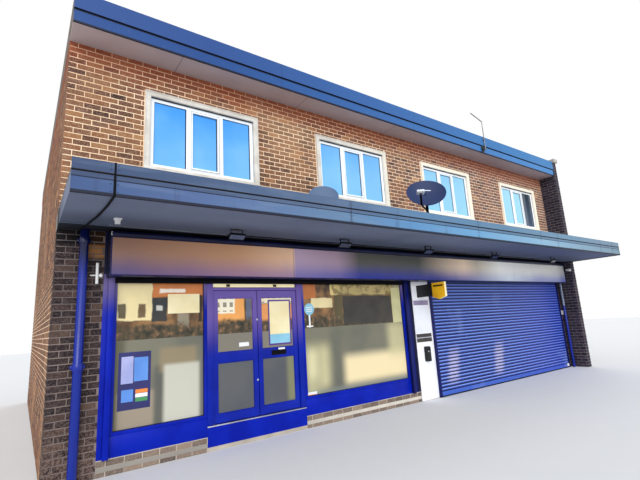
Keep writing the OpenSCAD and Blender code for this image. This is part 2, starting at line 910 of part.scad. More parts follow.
// Smaller dish on a wall arm
module dish_on_wall() {
  plate = 100;
  plate_t = 10;
  arm_dia = 32;
  arm_in = 20;
  turn = -30;
  tilt = -18;
  bowl = [580, 500, 60];
  bowl_y = -50;
  hub = [36, 40, 36];
  hub_from = [-18, -10, -18];
  translate([small_dish[0], arm_in - small_dish[1], small_dish[2]]) rotate([-90, 0, 0])
    cylinder(d = arm_dia, h = small_dish[1] - arm_in, $fn = 24);
  translate([small_dish[0] - plate / 2, -plate_t, small_dish[2] - plate / 2])
    cube([plate, plate_t, plate]);
  translate([small_dish[0], -small_dish[1], small_dish[2]]) rotate([0, 0, turn])
    rotate([tilt, 0, 0]) {
      translate([0, bowl_y, 0]) dish(bowl[0], bowl[1], bowl[2]);
      translate(hub_from) cube(hub);
    }
}

module satellite_dishes() {
  color("#3a4060") place() {
    union() dish_on_pole();
    union() dish_on_wall();
  }
}

// Thin mast with a cranked arm, clamped to the roof fascia
module roof_aerial() {
  stand = 25;
  mast = 25;
  bend = 60;
  arm_drop = 70;
  arm_l = 500;
  arm_turn = -75;
  clamp = [60, 40, 30];
  clamp_rises = [40, 290];
  y = -eaves_out - stand;
  color("gray") place() union() {
    translate([aerial[0], y, aerial[1]])
      cylinder(d = mast, h = aerial[2] - aerial[1] - bend, $fn = 24);
    for (rise = clamp_rises)
      translate([aerial[0] - clamp[0] / 2, -eaves_out - clamp[1], aerial[1] + rise])
        cube(clamp);
    translate([aerial[0], y, aerial[2] - arm_drop]) rotate([0, arm_turn, 0])
      cylinder(d = mast, h = arm_l, $fn = 24);
  }
}

// Small camera under the canopy, in its tapered housing
module canopy_camera() {
  plate = 90;
  plate_t = 12;
  housing = [60, 80];
  housing_h = 75;
  translate([-plate / 2, -plate / 2, -plate_t]) cube([plate, plate, plate_t]);
  translate([0, 0, -housing_h])
    cylinder(d1 = housing[0], d2 = housing[1], h = housing_h, $fn = 32);
}

// Barrel camera on a short arm that stands out towards -X
module wall_camera() {
  foot_dia = 80;
  foot_t = 12;
  arm_dia = 35;
  arm_l = 70;
  barrel_dia = 70;
  barrel_l = 150;
  barrel_in = 60;
  drop = 10;
  aim = [100, 0, -25];
  rotate([0, -90, 0]) cylinder(d = foot_dia, h = foot_t, $fn = 32);
  rotate([0, -90, 0]) cylinder(d = arm_dia, h = arm_l, $fn = 32);
  translate([-arm_l, 0, -drop]) rotate(aim) translate([0, 0, -barrel_in])
    cylinder(d = barrel_dia, h = barrel_l, $fn = 32);
}

// One camera under the canopy and one on the inner face of the end wall's projection
module cameras() {
  soffit_x = 600;
  soffit_y = light_y + 30;
  from_front = 70;
  wall_z = 2940;
  color("whitesmoke") place() {
    translate([soffit_x, -soffit_y, canopy_z]) union() canopy_camera();
    translate([inner_w, from_front - eaves_out, wall_z]) union() wall_camera();
  }
}

// White tube on two brackets at the top of the left pier, and a switch box on the jamb
module wall_fittings() {
  tube_x = 495;
  tube_dia = 38;
  tube_h = 285;
  tube_z = 2460;
  tube_out = 50;
  bracket = [26, 20];
  bracket_in = 30;
  box = [110, 62, 130];
  box_x = jamb_x + guide_w + 15;
  box_z = 1572;
  color("white") place() {
    union() {
      translate([tube_x, -tube_out, tube_z]) cylinder(d = tube_dia, h = tube_h, $fn = 32);
      for (z = [tube_z + bracket_in, tube_z + tube_h - bracket_in - bracket[1]])
        translate([tube_x - bracket[0] / 2, -tube_out, z])
          cube([bracket[0], tube_out, bracket[1]]);
    }
    translate([box_x, -box[1], box_z]) cube(box);
  }
}

ground_floor();
party_wall();
front_pier();
shop_piers();
end_wall();
end_wall_coping();
shop_plinth();
shop_beam();
rear_wall_lower();
rear_door();
first_floor();
canopy_slab();
canopy_fascia();
front_wall_upper();
rear_wall_upper();
roof_deck();
eaves_soffit();
roof_fascia();
felt_roofing();
window_surrounds();
window_frames();
window_glass();
shopfront_posts();
stall_risers();
left_window_frame();
right_window_frame();
shop_glass();
door_posts();
door_head();
door_threshold();
door_hinges();
door_left();
door_left_glass();
door_right();
door_right_glass();
letter_plate();
shutter_guides();
roller_shutter();
sign_box();
sign_panels();
sign_hood();
white_panel();
wall_bin();
projecting_sign();
floodlights();
downpipes();
satellite_dishes();
roof_aerial();
cameras();
canopy_cable();
wall_fittings();
raised_shutter();
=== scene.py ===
# %% [markdown]
# # A corner shop, dressed
# The building is a two-storey brick shop from the 1960s, with a cast canopy over a blue
# shopfront and a flat roof with deep eaves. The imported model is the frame. It has every
# wall, post and board at its real place, and this lesson gives each of them its surface,
# lays the bricks one by one and adds the small things.

# %% Load the frame
from math import cos, radians, sin

import bpy
import numpy as np
from mathutils import Matrix, Vector


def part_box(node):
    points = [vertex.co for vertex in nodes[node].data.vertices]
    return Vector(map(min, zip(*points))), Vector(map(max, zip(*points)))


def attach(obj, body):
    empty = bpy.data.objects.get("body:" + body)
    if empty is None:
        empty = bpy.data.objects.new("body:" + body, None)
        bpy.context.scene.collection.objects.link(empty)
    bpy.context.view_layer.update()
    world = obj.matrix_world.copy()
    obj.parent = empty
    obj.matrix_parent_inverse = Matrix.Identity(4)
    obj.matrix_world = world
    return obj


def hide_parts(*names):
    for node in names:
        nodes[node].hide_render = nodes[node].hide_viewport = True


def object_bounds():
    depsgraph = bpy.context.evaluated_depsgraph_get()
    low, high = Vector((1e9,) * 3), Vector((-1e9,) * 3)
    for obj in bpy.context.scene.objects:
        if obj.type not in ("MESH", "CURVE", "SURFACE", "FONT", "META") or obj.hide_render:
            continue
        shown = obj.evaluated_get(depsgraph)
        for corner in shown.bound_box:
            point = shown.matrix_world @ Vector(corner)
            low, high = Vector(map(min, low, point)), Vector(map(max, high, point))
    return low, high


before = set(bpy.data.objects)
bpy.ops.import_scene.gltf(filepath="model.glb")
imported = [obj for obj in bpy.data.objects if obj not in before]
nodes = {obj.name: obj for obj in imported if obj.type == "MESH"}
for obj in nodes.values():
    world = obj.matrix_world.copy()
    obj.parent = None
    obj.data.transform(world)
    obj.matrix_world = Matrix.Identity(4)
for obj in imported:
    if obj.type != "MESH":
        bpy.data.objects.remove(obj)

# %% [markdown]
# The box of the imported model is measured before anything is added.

cad_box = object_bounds()
size = cad_box[1] - cad_box[0]
print("building:", [round(side, 3) for side in size], "m,", len(nodes), "nodes")

# %% [markdown]
# The camera stands in front on the left, 1.77 m above the lowest ground. It could be moved
# by hand until the view fits, but the building's parallel edges meet in vanishing points,
# and these give its place, its turn and its focal length at once. A camera looks along its
# own -Z, so the three columns of its matrix are right, up and back.

# %% Camera
scene = bpy.context.scene
scene.view_settings.view_transform = "Standard"

VIEW_WIDTH = 640
FOCAL_PIXELS = 412.18
SENSOR = 36.0
camera_place = Vector((-7.222, -10.195, 1.765))
yaw, pitch, roll = radians(36.066), radians(11.3335), radians(3.4205)

forward = Vector((sin(yaw) * cos(pitch), cos(yaw) * cos(pitch), sin(pitch)))
level_right = Vector((cos(yaw), -sin(yaw), 0.0))
level_down = forward.cross(level_right)
right = cos(roll) * level_right + sin(roll) * level_down
down = cos(roll) * level_down - sin(roll) * level_right
turn = Matrix((right, -down, -forward)).transposed().to_4x4()

camera_data = bpy.data.cameras.new("camera")
camera_data.sensor_width = SENSOR
camera_data.lens = FOCAL_PIXELS * SENSOR / VIEW_WIDTH
camera_data.clip_end = 200
camera = bpy.data.objects.new("camera", camera_data)
scene.collection.objects.link(camera)
camera.matrix_world = Matrix.Translation(camera_place) @ turn
scene.camera = camera
print("lens:", round(camera_data.lens, 2), "mm")

# %% [markdown]
# Colours are written as they look on a screen: red, green and blue from 0 to 255. A shader
# works with linear light. The linear numbers could be typed in, but nobody can picture
# those, so a function works them out.

# %% Colours
def colour(red, green, blue):
    def linear(value):
        share = value / 255
        return share / 12.92 if share <= 0.04045 else ((share + 0.055) / 1.055) ** 2.4
    return (linear(red), linear(green), linear(blue), 1.0)


print("a middle grey is", round(colour(128, 128, 128)[0], 3), "in linear light")

# %% [markdown]
# Shader maths could be one call for each node, but it reads best as plain sums. A Wire is
# one output of one node, and adding or multiplying Wires adds the Math node that does it.

# %% Wires
class Wire:
    def __init__(self, shader, socket):
        self.shader = shader
        self.socket = socket

    def maths(self, operation, *values):
        return self.shader.make("Math", {"operation": operation}, dict(enumerate(values)))

    def __add__(self, other):
        return self.maths("ADD", self, other)

    def __sub__(self, other):
        return self.maths("SUBTRACT", self, other)

    def __rsub__(self, other):
        return self.maths("SUBTRACT", other, self)

    def __mul__(self, other):
        return self.maths("MULTIPLY", self, other)

    def __truediv__(self, other):
        return self.maths("DIVIDE", self, other)

    def __mod__(self, other):
        return self.maths("FLOORED_MODULO", self, other)

    def __gt__(self, other):
        return self.maths("GREATER_THAN", self, other)

    def __lt__(self, other):
        return self.maths("LESS_THAN", self, other)

    def __abs__(self):
        return self.maths("ABSOLUTE", self)

    __radd__ = __add__
    __rmul__ = __mul__


# %% [markdown]
# Any other node comes from make, which takes its type, its settings and what goes into its
# sockets. The settings come first, because some of them decide which sockets there are.

# %% Nodes
class Shader:
    def __init__(self, tree):
        self.tree = tree
        tree.nodes.clear()

    def make(self, kind, settings=None, sockets=None, out=0):
        node = self.tree.nodes.new("ShaderNode" + kind)
        for key, value in (settings or {}).items():
            if key == "stops":
                self.set_stops(node.color_ramp, value)
            else:
                setattr(node, key, value)
        for key, value in (sockets or {}).items():
            if isinstance(value, Wire):
                self.tree.links.new(value.socket, node.inputs[key])
            else:
                node.inputs[key].default_value = value
        return Wire(self, node.outputs[out]) if node.outputs else node

    def set_stops(self, ramp, stops):
        while len(ramp.elements) < len(stops):
            ramp.elements.new(1.0)
        for element, (position, *shade) in zip(ramp.elements, stops):
            element.position = position
            element.color = colour(*shade)


# %% [markdown]
# A Finish is the shader of one material. A flat colour would be quicker, but real paint and
# brick change from place to place. So a finish starts with one shade and covers it with
# others: a mask says where, and how much. It knows the place of the shaded point in the
# building, in metres, so every pattern has its true scale and stays where it is.

# %% Finish
class Finish(Shader):
    def __init__(self, name):
        self.material = bpy.data.materials.new(name)
        self.material.use_nodes = True
        super().__init__(self.material.node_tree)
        self.place = self.make("TexCoord", out="Object")
        self.x, self.y, self.z = [
            self.make("SeparateXYZ", {}, {0: self.place}, out=axis) for axis in range(3)]
        self.shade = None

    def noise(self, scale, detail=3.0, stretch=(1, 1, 1), seed=0.0):
        place = self.make("Mapping", {}, {"Vector": self.place, "Scale": stretch})
        return self.make("TexNoise", {"noise_dimensions": "4D"}, {
            "Vector": place, "W": seed, "Scale": scale, "Detail": detail})

    def step(self, value, start, end):
        return self.make("MapRange", {"interpolation_type": "SMOOTHSTEP"}, {
            "Value": value, "From Min": start, "From Max": end})

    def patches(self, scale, detail, start, end, stretch=(1, 1, 1), seed=0.0):
        """Noise, with its middle tones pulled apart into patches."""
        return self.step(self.noise(scale, detail, stretch, seed), start, end)

    def ramp(self, value, *stops):
        return self.make("ValToRGB", {"stops": stops}, {0: value})

    def mix(self, share, first, second):
        first, second = [shade if isinstance(shade, Wire) else colour(*shade)
                         for shade in (first, second)]
        return self.make("Mix", {"data_type": "RGBA"}, {0: share, 6: first, 7: second}, out=2)

    def cover(self, mask, shade):
        """Lays another colour over the finish where the mask is above 0."""
        self.shade = self.mix(mask, self.shade, shade)

    def bump(self, height, distance):
        return self.make("Bump", {}, {"Height": height, "Distance": distance})

    def near(self, value, middle, width):
        """1 in a band of this width round the middle, and 0 elsewhere."""
        return abs(value - middle) < width / 2

    def along(self, start, end):
        """How far the point has come from start to end on the way to the right."""
        return (self.x - start) / (end - start)

    def joints(self, first, pitch, width):
        """1 on upright joints: the first, and one at every pitch from it."""
        return self.near((self.x - (first - pitch / 2)) % pitch, pitch / 2, width)

    def surface(self, **sockets):
        named = {key.replace("_", " "): value for key, value in sockets.items()}
        shader = self.make("BsdfPrincipled", {}, {"Base Color": self.shade, **named})
        self.make("OutputMaterial", {}, {"Surface": shader})
        print("finish", self.material.name + ":", len(self.tree.nodes), "nodes")
        return self.material


# %% [markdown]
# A plain studio shows the colours as they are written. The world gives an even light. One
# wide sun stands in front on the left, a level one shines in under the canopy, and a weaker
# one lights the sides that they miss. Stronger lamps would make the picture livelier, but
# they would bleach the paint. What the camera sees behind the building is white, and so is
# what glass and metal mirror.

# %% Light
AMBIENT = 0.62
KEY_LIGHT = 1.95
FRONT_LIGHT = 1.3
FILL_LIGHT = 0.8

world = bpy.data.worlds.new("studio")
scene.world = world
world.use_nodes = True
sky = Shader(world.node_tree)
seen = sky.make("LightPath", out="Is Camera Ray")
seen = seen + sky.make("LightPath", out="Is Glossy Ray")
seen = seen + sky.make("LightPath", out="Is Transmission Ray")
lamp = sky.make("Background", {}, {"Color": (0.94, 0.97, 1, 1), "Strength": AMBIENT})
backdrop = sky.make("Background", {}, {"Color": (1, 1, 1, 1), "Strength": 1.0})
mixed = sky.make("MixShader", {}, {0: seen, 1: lamp, 2: backdrop})
sky.make("OutputWorld", {}, {"Surface": mixed})


def sun(name, aim, strength, spread):
    data = bpy.data.lights.new(name, "SUN")
    data.energy = strength
    data.angle = radians(spread)
    lamp = bpy.data.objects.new(name, data)
    scene.collection.objects.link(lamp)
    lamp.rotation_euler = Vector(aim).to_track_quat("-Z", "Y").to_euler()
    print("sun", name + ":", strength, "with a spread of", spread, "degrees")


sun("key", (0.45, 0.8, -0.62), KEY_LIGHT, 50)
sun("front", (0.35, 0.93, -0.06), FRONT_LIGHT, 60)
sun("fill", (-0.8, -0.55, -0.6), FILL_LIGHT, 60)

# %% [markdown]
# The floor is a wide pale plane at the lowest ground. It could be a disc or a curved sweep,
# but a plane that runs out of sight needs no edge. It belongs to the stage and not to the
# building.

# %% Floor
FLOOR_SIZE = 120
FLOOR_DROP = 0.002

bpy.ops.object.select_all(action="DESELECT")
bpy.ops.mesh.primitive_plane_add(size=FLOOR_SIZE, location=(0, 0, -FLOOR_DROP))
floor = bpy.context.active_object
floor.name = "floor"
pale = Finish("pale_floor")
pale.shade = pale.mix(pale.noise(3.0, 5) * 0.3, (226, 227, 229), (214, 215, 218))
floor.data.materials.append(pale.surface(Roughness=0.9))

# %% [markdown]
# The modelling helpers do what a hand does at the screen. Everything is deselected first,
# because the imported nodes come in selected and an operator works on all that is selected.

# %% Selection and edit mode
def choose(*pieces):
    bpy.ops.object.select_all(action="DESELECT")
    for piece in pieces:
        piece.select_set(True)
    bpy.context.view_layer.objects.active = pieces[0]


def settle(piece, name):
    """Brings the piece's place, turn and scale into its mesh."""
    choose(piece)
    bpy.ops.object.transform_apply(location=True, rotation=True, scale=True)
    piece.name = name
    piece.data.name = name
    return piece


def edit(piece, *steps):
    """Runs edit-mode steps on the whole piece."""
    choose(piece)
    bpy.ops.object.mode_set(mode="EDIT")
    bpy.ops.mesh.select_all(action="SELECT")
    for step in steps:
        step()
    bpy.ops.object.mode_set(mode="OBJECT")
    return piece


def pick_faces(piece, wanted):
    """Selects the faces that a test names, and enters edit mode with them."""
    choose(piece)
    bpy.ops.object.mode_set(mode="EDIT")
    bpy.ops.mesh.select_mode(type="FACE")
    bpy.ops.mesh.select_all(action="DESELECT")
    bpy.ops.object.mode_set(mode="OBJECT")
    for face in piece.data.polygons:
        face.select = bool(wanted(face))
    bpy.ops.object.mode_set(mode="EDIT")


# %% [markdown]
# No edge on a building is a knife's edge, and the thin line of light on a rounded one is
# what makes a thing look solid. A bevel in edit mode is enough for a block. A node has
# edges of many lengths, so it gets the Bevel modifier, which can be told to leave flat
# seams alone.

# %% Rounded edges
SHARP = radians(30)


def smooth(piece, angle=35):
    choose(piece)
    bpy.ops.object.shade_smooth_by_angle(angle=radians(angle))
    return piece


def soften(piece, width, segments=2):
    """Rounds every edge that is sharper than 30 degrees."""
    choose(piece)
    bevel = piece.modifiers.new("BEVEL", "BEVEL")
    bevel.width = width
    bevel.segments = segments
    bevel.limit_method = "ANGLE"
    bevel.angle_limit = SHARP
    bevel.use_clamp_overlap = True
    bpy.ops.object.modifier_apply(modifier=bevel.name)
    return smooth(piece)


# %% [markdown]
# Most small things are a block or a bar. Each starts as a primitive at its size and place.
# Its place, turn and scale could stay on the object, but the shaders measure from the
# building's origin, so all three go into the mesh.

# %% Blocks and bars
def block(name, low, high, edge=0.002, segments=1):
    """A block between two corners, with its edges rounded."""
    low, high = Vector(low), Vector(high)
    bpy.ops.object.select_all(action="DESELECT")
    bpy.ops.mesh.primitive_cube_add(size=1, location=(low + high) / 2, scale=high - low)
    piece = settle(bpy.context.active_object, name)
    if edge:
        edit(piece, lambda: bpy.ops.mesh.bevel(
            offset=edge, segments=segments, affect="EDGES", clamp_overlap=True))
    return piece


def rod(name, start, end, radius, sides=16, edge=0.0):
    """A round bar between two points."""
    start, end = Vector(start), Vector(end)
    bpy.ops.object.select_all(action="DESELECT")
    bpy.ops.mesh.primitive_cylinder_add(
        vertices=sides, radius=radius, depth=(end - start).length, location=(start + end) / 2,
        rotation=(end - start).to_track_quat("Z", "Y").to_euler())
    piece = settle(bpy.context.active_object, name)
    return soften(piece, edge) if edge else smooth(piece)


def join(name, pieces):
    choose(*pieces)
    if len(pieces) > 1:
        bpy.ops.object.join()
    piece = bpy.context.view_layer.objects.active
    piece.name = name
    piece.data.name = name
    return piece


# %% [markdown]
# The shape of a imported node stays. Where it needs more than a finish, a copy of its
# mesh is merged and cleaned, shaped further, and then stands for the node. Modelling the
# piece anew would do too, but the copy already has every size right.

# %% Work on a copy of a node
def copy_of(node):
    piece = bpy.data.objects.new(node + "_dressed", nodes[node].data.copy())
    scene.collection.objects.link(piece)
    piece.data.materials.clear()
    return edit(piece,
                lambda: bpy.ops.mesh.remove_doubles(threshold=0.00002),
                lambda: bpy.ops.mesh.dissolve_limited(angle_limit=radians(0.5)))


def boxes_of(node):
    """The box of each separate solid of a node, from left to right."""
    piece = copy_of(node)
    edit(piece, lambda: bpy.ops.mesh.separate(type="LOOSE"))
    found = []
    for part in list(bpy.context.selected_objects):
        corners = [Vector(corner) for corner in part.bound_box]
        found.append((Vector(map(min, *corners)), Vector(map(max, *corners))))
        bpy.data.objects.remove(part)
    return sorted(found, key=lambda box: (round(box[0].y, 2), round(box[0].x, 3), box[0].z))


# %% [markdown]
# A finished piece is painted and handed over to the frame. It rides on a body and may stand
# for a node.

# %% Paint and hand over
HOUSE = "building"


def paint(piece, *finishes):
    piece.data.materials.clear()
    for finish in finishes:
        piece.data.materials.append(finish)
    return piece


def keep(piece, slot, replaced=(), body=HOUSE):
    """Hands a finished piece over to the frame."""
    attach(piece, body)
    if replaced:
        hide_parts(*replaced)
    print(piece.name + ":", len(piece.data.polygons), "faces on", body)


def dress(piece, finish, slot, replaced=(), body=HOUSE):
    """Paints a piece with one finish and hands it over."""
    keep(paint(piece, finish), slot, replaced, body)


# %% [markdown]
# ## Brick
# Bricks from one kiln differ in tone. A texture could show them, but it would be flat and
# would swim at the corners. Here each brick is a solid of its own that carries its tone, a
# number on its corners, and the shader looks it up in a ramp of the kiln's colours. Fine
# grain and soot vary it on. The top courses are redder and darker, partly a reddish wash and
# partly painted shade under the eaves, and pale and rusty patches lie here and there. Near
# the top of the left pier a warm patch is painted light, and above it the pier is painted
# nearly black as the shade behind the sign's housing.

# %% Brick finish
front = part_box("front_wall_upper")
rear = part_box("rear_wall_upper")
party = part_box("party_wall")
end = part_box("end_wall")
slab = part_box("first_floor")
eaves_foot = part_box("eaves_soffit")[0].z
FACE = front[0].y
RED_TOP = (eaves_foot - 0.5, eaves_foot - 0.05)
WORN_FOOT = (0.25, 1.0)
COOLER_END = (-2.5, 2.5)
LIT_PATCH_RISE = (2.8, 2.86)
LIT_PATCH_ACROSS = (-6.66, -6.52)
SHADED_HEAD = (2.98, 3.03)


def brick_finish(name, stops, speck, red_top=0.0, patchy=0.0, worn_foot=0.0, shaded=0.0):
    brick = Finish(name)
    tone = brick.make("Attribute", {"attribute_name": "tone"}, out="Fac")
    brick.shade = brick.ramp(tone + (brick.noise(0.9, 3, seed=3) - 0.5) * 0.3, *stops)
    grain = brick.noise(55, 4, seed=1)
    pits = brick.noise(120, 2, seed=2)
    brick.cover(brick.step(grain, 0.42, 0.75) * 0.4, speck)
    brick.cover(brick.step(pits, 0.58, 0.7) * 0.45, (58, 42, 38))
    brick.cover(brick.patches(0.6, 2, 0.52, 0.68, seed=8) * patchy, (214, 172, 130))
    brick.cover(brick.patches(0.8, 2, 0.54, 0.7, seed=9) * patchy, (176, 88, 56))
    brick.cover(brick.step(brick.x, *COOLER_END) * patchy * 0.7, (112, 108, 136))
    foot = 1 - brick.step(brick.z, *WORN_FOOT)
    brick.cover(foot * brick.step(grain, 0.35, 0.6) * worn_foot, (142, 118, 104))
    # The top courses are redder and darker: partly a reddish wash, partly painted shade under the
    # eaves.
    brick.cover(brick.step(brick.z, *RED_TOP) * red_top, (150, 68, 38))
    # Painted light: a warm patch near the top of the left pier.
    lit_patch = brick.step(brick.z, *LIT_PATCH_RISE) * brick.step(brick.x, *LIT_PATCH_ACROSS)
    brick.cover(lit_patch * shaded * 0.6, (196, 136, 76))
    # Painted shade: the head of the left pier is nearly black behind the sign's housing.
    brick.cover(brick.step(brick.z, *SHADED_HEAD) * shaded, (6, 6, 10))
    return brick.surface(Roughness=0.86, Normal=brick.bump(grain + pits * 0.6, 0.003),
                         Specular_IOR_Level=0.2)


# %% [markdown]
# Four bricks are used: a warm stock brick above, a brown one on the left pier, a plum one on
# the end wall and the inner piers, and a pale one in the plinth. Each could have a shader
# of its own, but they differ only in their colours and in how worn they are.

# %% Four bricks
stock_brick = brick_finish("stock_brick", (
    (0.0, 56, 40, 38), (0.14, 86, 58, 50), (0.3, 110, 75, 58), (0.46, 132, 90, 64),
    (0.6, 100, 73, 65), (0.74, 152, 108, 74), (0.88, 120, 75, 53), (1.0, 184, 143, 100)),
    (206, 172, 142), red_top=0.6, patchy=0.22)
pier_brick = brick_finish("pier_brick", (
    (0.0, 26, 21, 26), (0.35, 42, 33, 36), (0.6, 56, 44, 44), (0.85, 72, 56, 50),
    (1.0, 98, 78, 66)), (128, 112, 106), worn_foot=0.4, shaded=0.9)
plum_brick = brick_finish("plum_brick", (
    (0.0, 24, 23, 38), (0.35, 37, 35, 52), (0.6, 48, 44, 60), (0.85, 60, 52, 64),
    (1.0, 80, 72, 78)), (92, 84, 96))
plinth_brick = brick_finish("plinth_brick", (
    (0.0, 86, 76, 72), (0.5, 124, 108, 98), (1.0, 150, 130, 114)), (184, 166, 148))

# %% [markdown]
# A wall is mortar outside, between its bricks, and plaster inside. Two finishes and a list
# of faces would do, but the rooms are a plain box, so one finish can ask whether a point
# lies in that box.

# %% Mortar and plaster
MORTAR_SINK = 0.005
SKIN = MORTAR_SINK + 0.002
room_low = Vector((party[1].x, front[1].y, 0.0))
room_high = Vector((end[0].x, rear[0].y, 0.0))


def mortar_finish(name, pale, dark, red_top=0.0):
    mortar = Finish(name)
    sand = mortar.noise(240, 2, seed=4)
    mortar.shade = mortar.mix(mortar.patches(1.6, 4, 0.35, 0.7, seed=5), pale, dark)
    mortar.cover(sand * 0.3, dark)
    # The top joints are redder too: partly a reddish wash, partly painted shade under the eaves.
    mortar.cover(mortar.step(mortar.z, *RED_TOP) * red_top, (190, 118, 80))
    indoors = (mortar.x > room_low.x - SKIN) * (mortar.x < room_high.x + SKIN)
    indoors = indoors * (mortar.y > room_low.y - SKIN) * (mortar.y < room_high.y + SKIN)
    lime = mortar.mix(mortar.noise(2.2, 5, seed=6), (222, 214, 198), (202, 192, 176))
    mortar.cover(indoors, lime)
    return mortar.surface(Roughness=0.95, Normal=mortar.bump(sand, 0.002), Specular_IOR_Level=0.2)


cream_mortar = mortar_finish("cream_mortar", (254, 230, 198), (230, 194, 158), 0.6)
dark_mortar = mortar_finish("dark_mortar", (136, 121, 114), (92, 84, 86))
pale_mortar = mortar_finish("pale_mortar", (204, 194, 180), (160, 150, 138))

# %% [markdown]
# One brick is modelled: a block with its front edges worn round and no back, since the
# back is in the mortar. Stretching it would stretch its worn edges too, so a longer or
# shorter brick is made by moving its corners apart instead.

# %% One brick
BRICK_LENGTH = 0.215
BRICK_HEIGHT = 0.073
BRICK_DEPTH = 0.018
WORN_EDGE = 0.004

one_brick = block("brick", (-BRICK_LENGTH / 2, 0, -BRICK_HEIGHT / 2),
                  (BRICK_LENGTH / 2, BRICK_DEPTH, BRICK_HEIGHT / 2), edge=0)
pick_faces(one_brick, lambda face: face.normal.y > 0.9)
bpy.ops.mesh.delete(type="FACE")
bpy.ops.object.mode_set(mode="OBJECT")
pick_faces(one_brick, lambda face: face.normal.y < -0.9)
bpy.ops.mesh.bevel(offset=WORN_EDGE, segments=1, affect="EDGES")
bpy.ops.object.mode_set(mode="OBJECT")
brick_points = np.array([point.co for point in one_brick.data.vertices])
brick_faces = [list(face.vertices) for face in one_brick.data.polygons]
bpy.data.objects.remove(one_brick)
print("one brick:", len(brick_points), "corners,", len(brick_faces), "faces")

# %% [markdown]
# The bond is the plain stretcher bond: each course starts half a brick further on. A brick
# that meets an opening is cut there, as a bricklayer cuts it. Cutting the finished mesh
# with a Boolean would leave open bricks, so the sizes are cut before any brick is made.

# %% Cut and bond
BRICK_PITCH = 0.225
COURSE = 0.0848
JOINT = 0.010
MIN_LENGTH = 0.03
MIN_HEIGHT = 0.02
WALL_END = 0.001
WALL_HEAD = 0.002


def big_enough(brick):
    return brick[1] - brick[0] > MIN_LENGTH and brick[3] - brick[2] > MIN_HEIGHT


def cut(brick, hole):
    """What is left of a brick beside, under and over a hole."""
    left, right, low, high = brick
    hole_left, hole_right, hole_low, hole_high = hole
    if hole_right <= left or hole_left >= right or hole_high <= low or hole_low >= high:
        return [brick]
    inner_left, inner_right = max(left, hole_left), min(right, hole_right)
    parts = [(left, hole_left, low, high), (hole_right, right, low, high),
             (inner_left, inner_right, low, hole_low), (inner_left, inner_right, hole_high, high)]
    return [part for part in parts if big_enough(part)]


def bond(length, height, holes):
    """All bricks of a wall as (left, right, low, high)."""
    laid = []
    for course in range(int(height / COURSE) + 1):
        low = course * COURSE
        high = min(low + BRICK_HEIGHT, height - WALL_HEAD)
        start = 0.0 if course % 2 else -BRICK_PITCH / 2
        for step in range(int(length / BRICK_PITCH) + 2):
            left = max(start + step * BRICK_PITCH + JOINT / 2, WALL_END)
            right = min(start + (step + 1) * BRICK_PITCH - JOINT / 2, length - WALL_END)
            parts = [(left, right, low, high)]
            for hole in holes:
                parts = [rest for part in parts for rest in cut(part, hole)]
            laid += [part for part in parts if big_enough(part)]
    return np.array(laid)


print("a plain wall of one square metre:", len(bond(1, 1, ())), "bricks and cut bricks")

# %% [markdown]
# A face of a wall is given by the way it looks, two of its corners and its holes. Every
# brick on it is the hand-made one, moved to its place, and lies a millimetre or two deeper
# or less deep. Its corners are moved as arrays, which takes all bricks of the face at once.

# %% The bricks of a face
MOST_PUSHED_IN = 0.0025
UP = Vector((0, 0, 1))
dice = np.random.default_rng(1965)


def brick_face(out, low, high, holes):
    """The corners and tones of the bricks on one face."""
    out, low, high = Vector(out), Vector(low), Vector(high)
    along = UP.cross(out)
    start = min(low.dot(along), high.dot(along))
    length = abs((high - low).dot(along))

    def flat(corner_low, corner_high):
        ends = sorted(Vector(corner).dot(along) - start for corner in (corner_low, corner_high))
        return (ends[0] - JOINT, ends[1] + JOINT,
                corner_low[2] - low.z - JOINT, corner_high[2] - low.z + JOINT)

    bricks = bond(length, high.z - low.z, [flat(*hole) for hole in holes])
    middle = (bricks[:, [0, 2]] + bricks[:, [1, 3]]) / 2
    grown = (bricks[:, [1, 3]] - bricks[:, [0, 2]] - (BRICK_LENGTH, BRICK_HEIGHT)) / 2
    points = np.tile(brick_points, (len(bricks), 1, 1))
    points[:, :, 0] += np.sign(brick_points[:, 0]) * grown[:, 0, None] + middle[:, 0, None]
    points[:, :, 2] += np.sign(brick_points[:, 2]) * grown[:, 1, None] + middle[:, 1, None]
    points[:, :, 1] += dice.uniform(0, MOST_PUSHED_IN, len(bricks))[:, None]
    origin = np.array(along) * start + np.array(out) * low.dot(out) + np.array(UP) * low.z
    turned = (points[:, :, 0:1] * np.array(along) - points[:, :, 1:2] * np.array(out)
              + points[:, :, 2:3] * np.array(UP) + origin)
    tones = np.repeat(dice.beta(1.6, 1.8, len(bricks)), len(brick_points))
    return turned.reshape(-1, 3), tones


# %% [markdown]
# Thousands of objects would be slow, so the bricks of all faces become one mesh, whose
# corners carry the tone of their brick.

# %% One mesh of bricks
def lay_bricks(name, faces):
    """One mesh of all the bricks on several faces."""
    laid = [brick_face(*face) for face in faces]
    points = np.concatenate([part[0] for part in laid])
    tones = np.concatenate([part[1] for part in laid])
    count = len(points) // len(brick_points)
    polygons = [[corner + number * len(brick_points) for corner in face]
                for number in range(count) for face in brick_faces]
    mesh = bpy.data.meshes.new(name)
    mesh.from_pydata(points.tolist(), [], polygons)
    mesh.attributes.new("tone", "FLOAT", "POINT").data.foreach_set("value", tones)
    piece = bpy.data.objects.new(name, mesh)
    scene.collection.objects.link(piece)
    print(name + ":", count, "bricks")
    return piece


# %% [markdown]
# Behind the bricks stands the wall itself. It is the node's own solid with its brick faces
# set back by the depth of a joint, so that the joints are real grooves. A bump map would
# be lighter, but it can't show a groove at the edge of a wall.

# %% Wall cores
FRONT, BACK, LEFT, RIGHT = (0, -1, 0), (0, 1, 0), (-1, 0, 0), (1, 0, 0)
ON_FACE = 0.0002


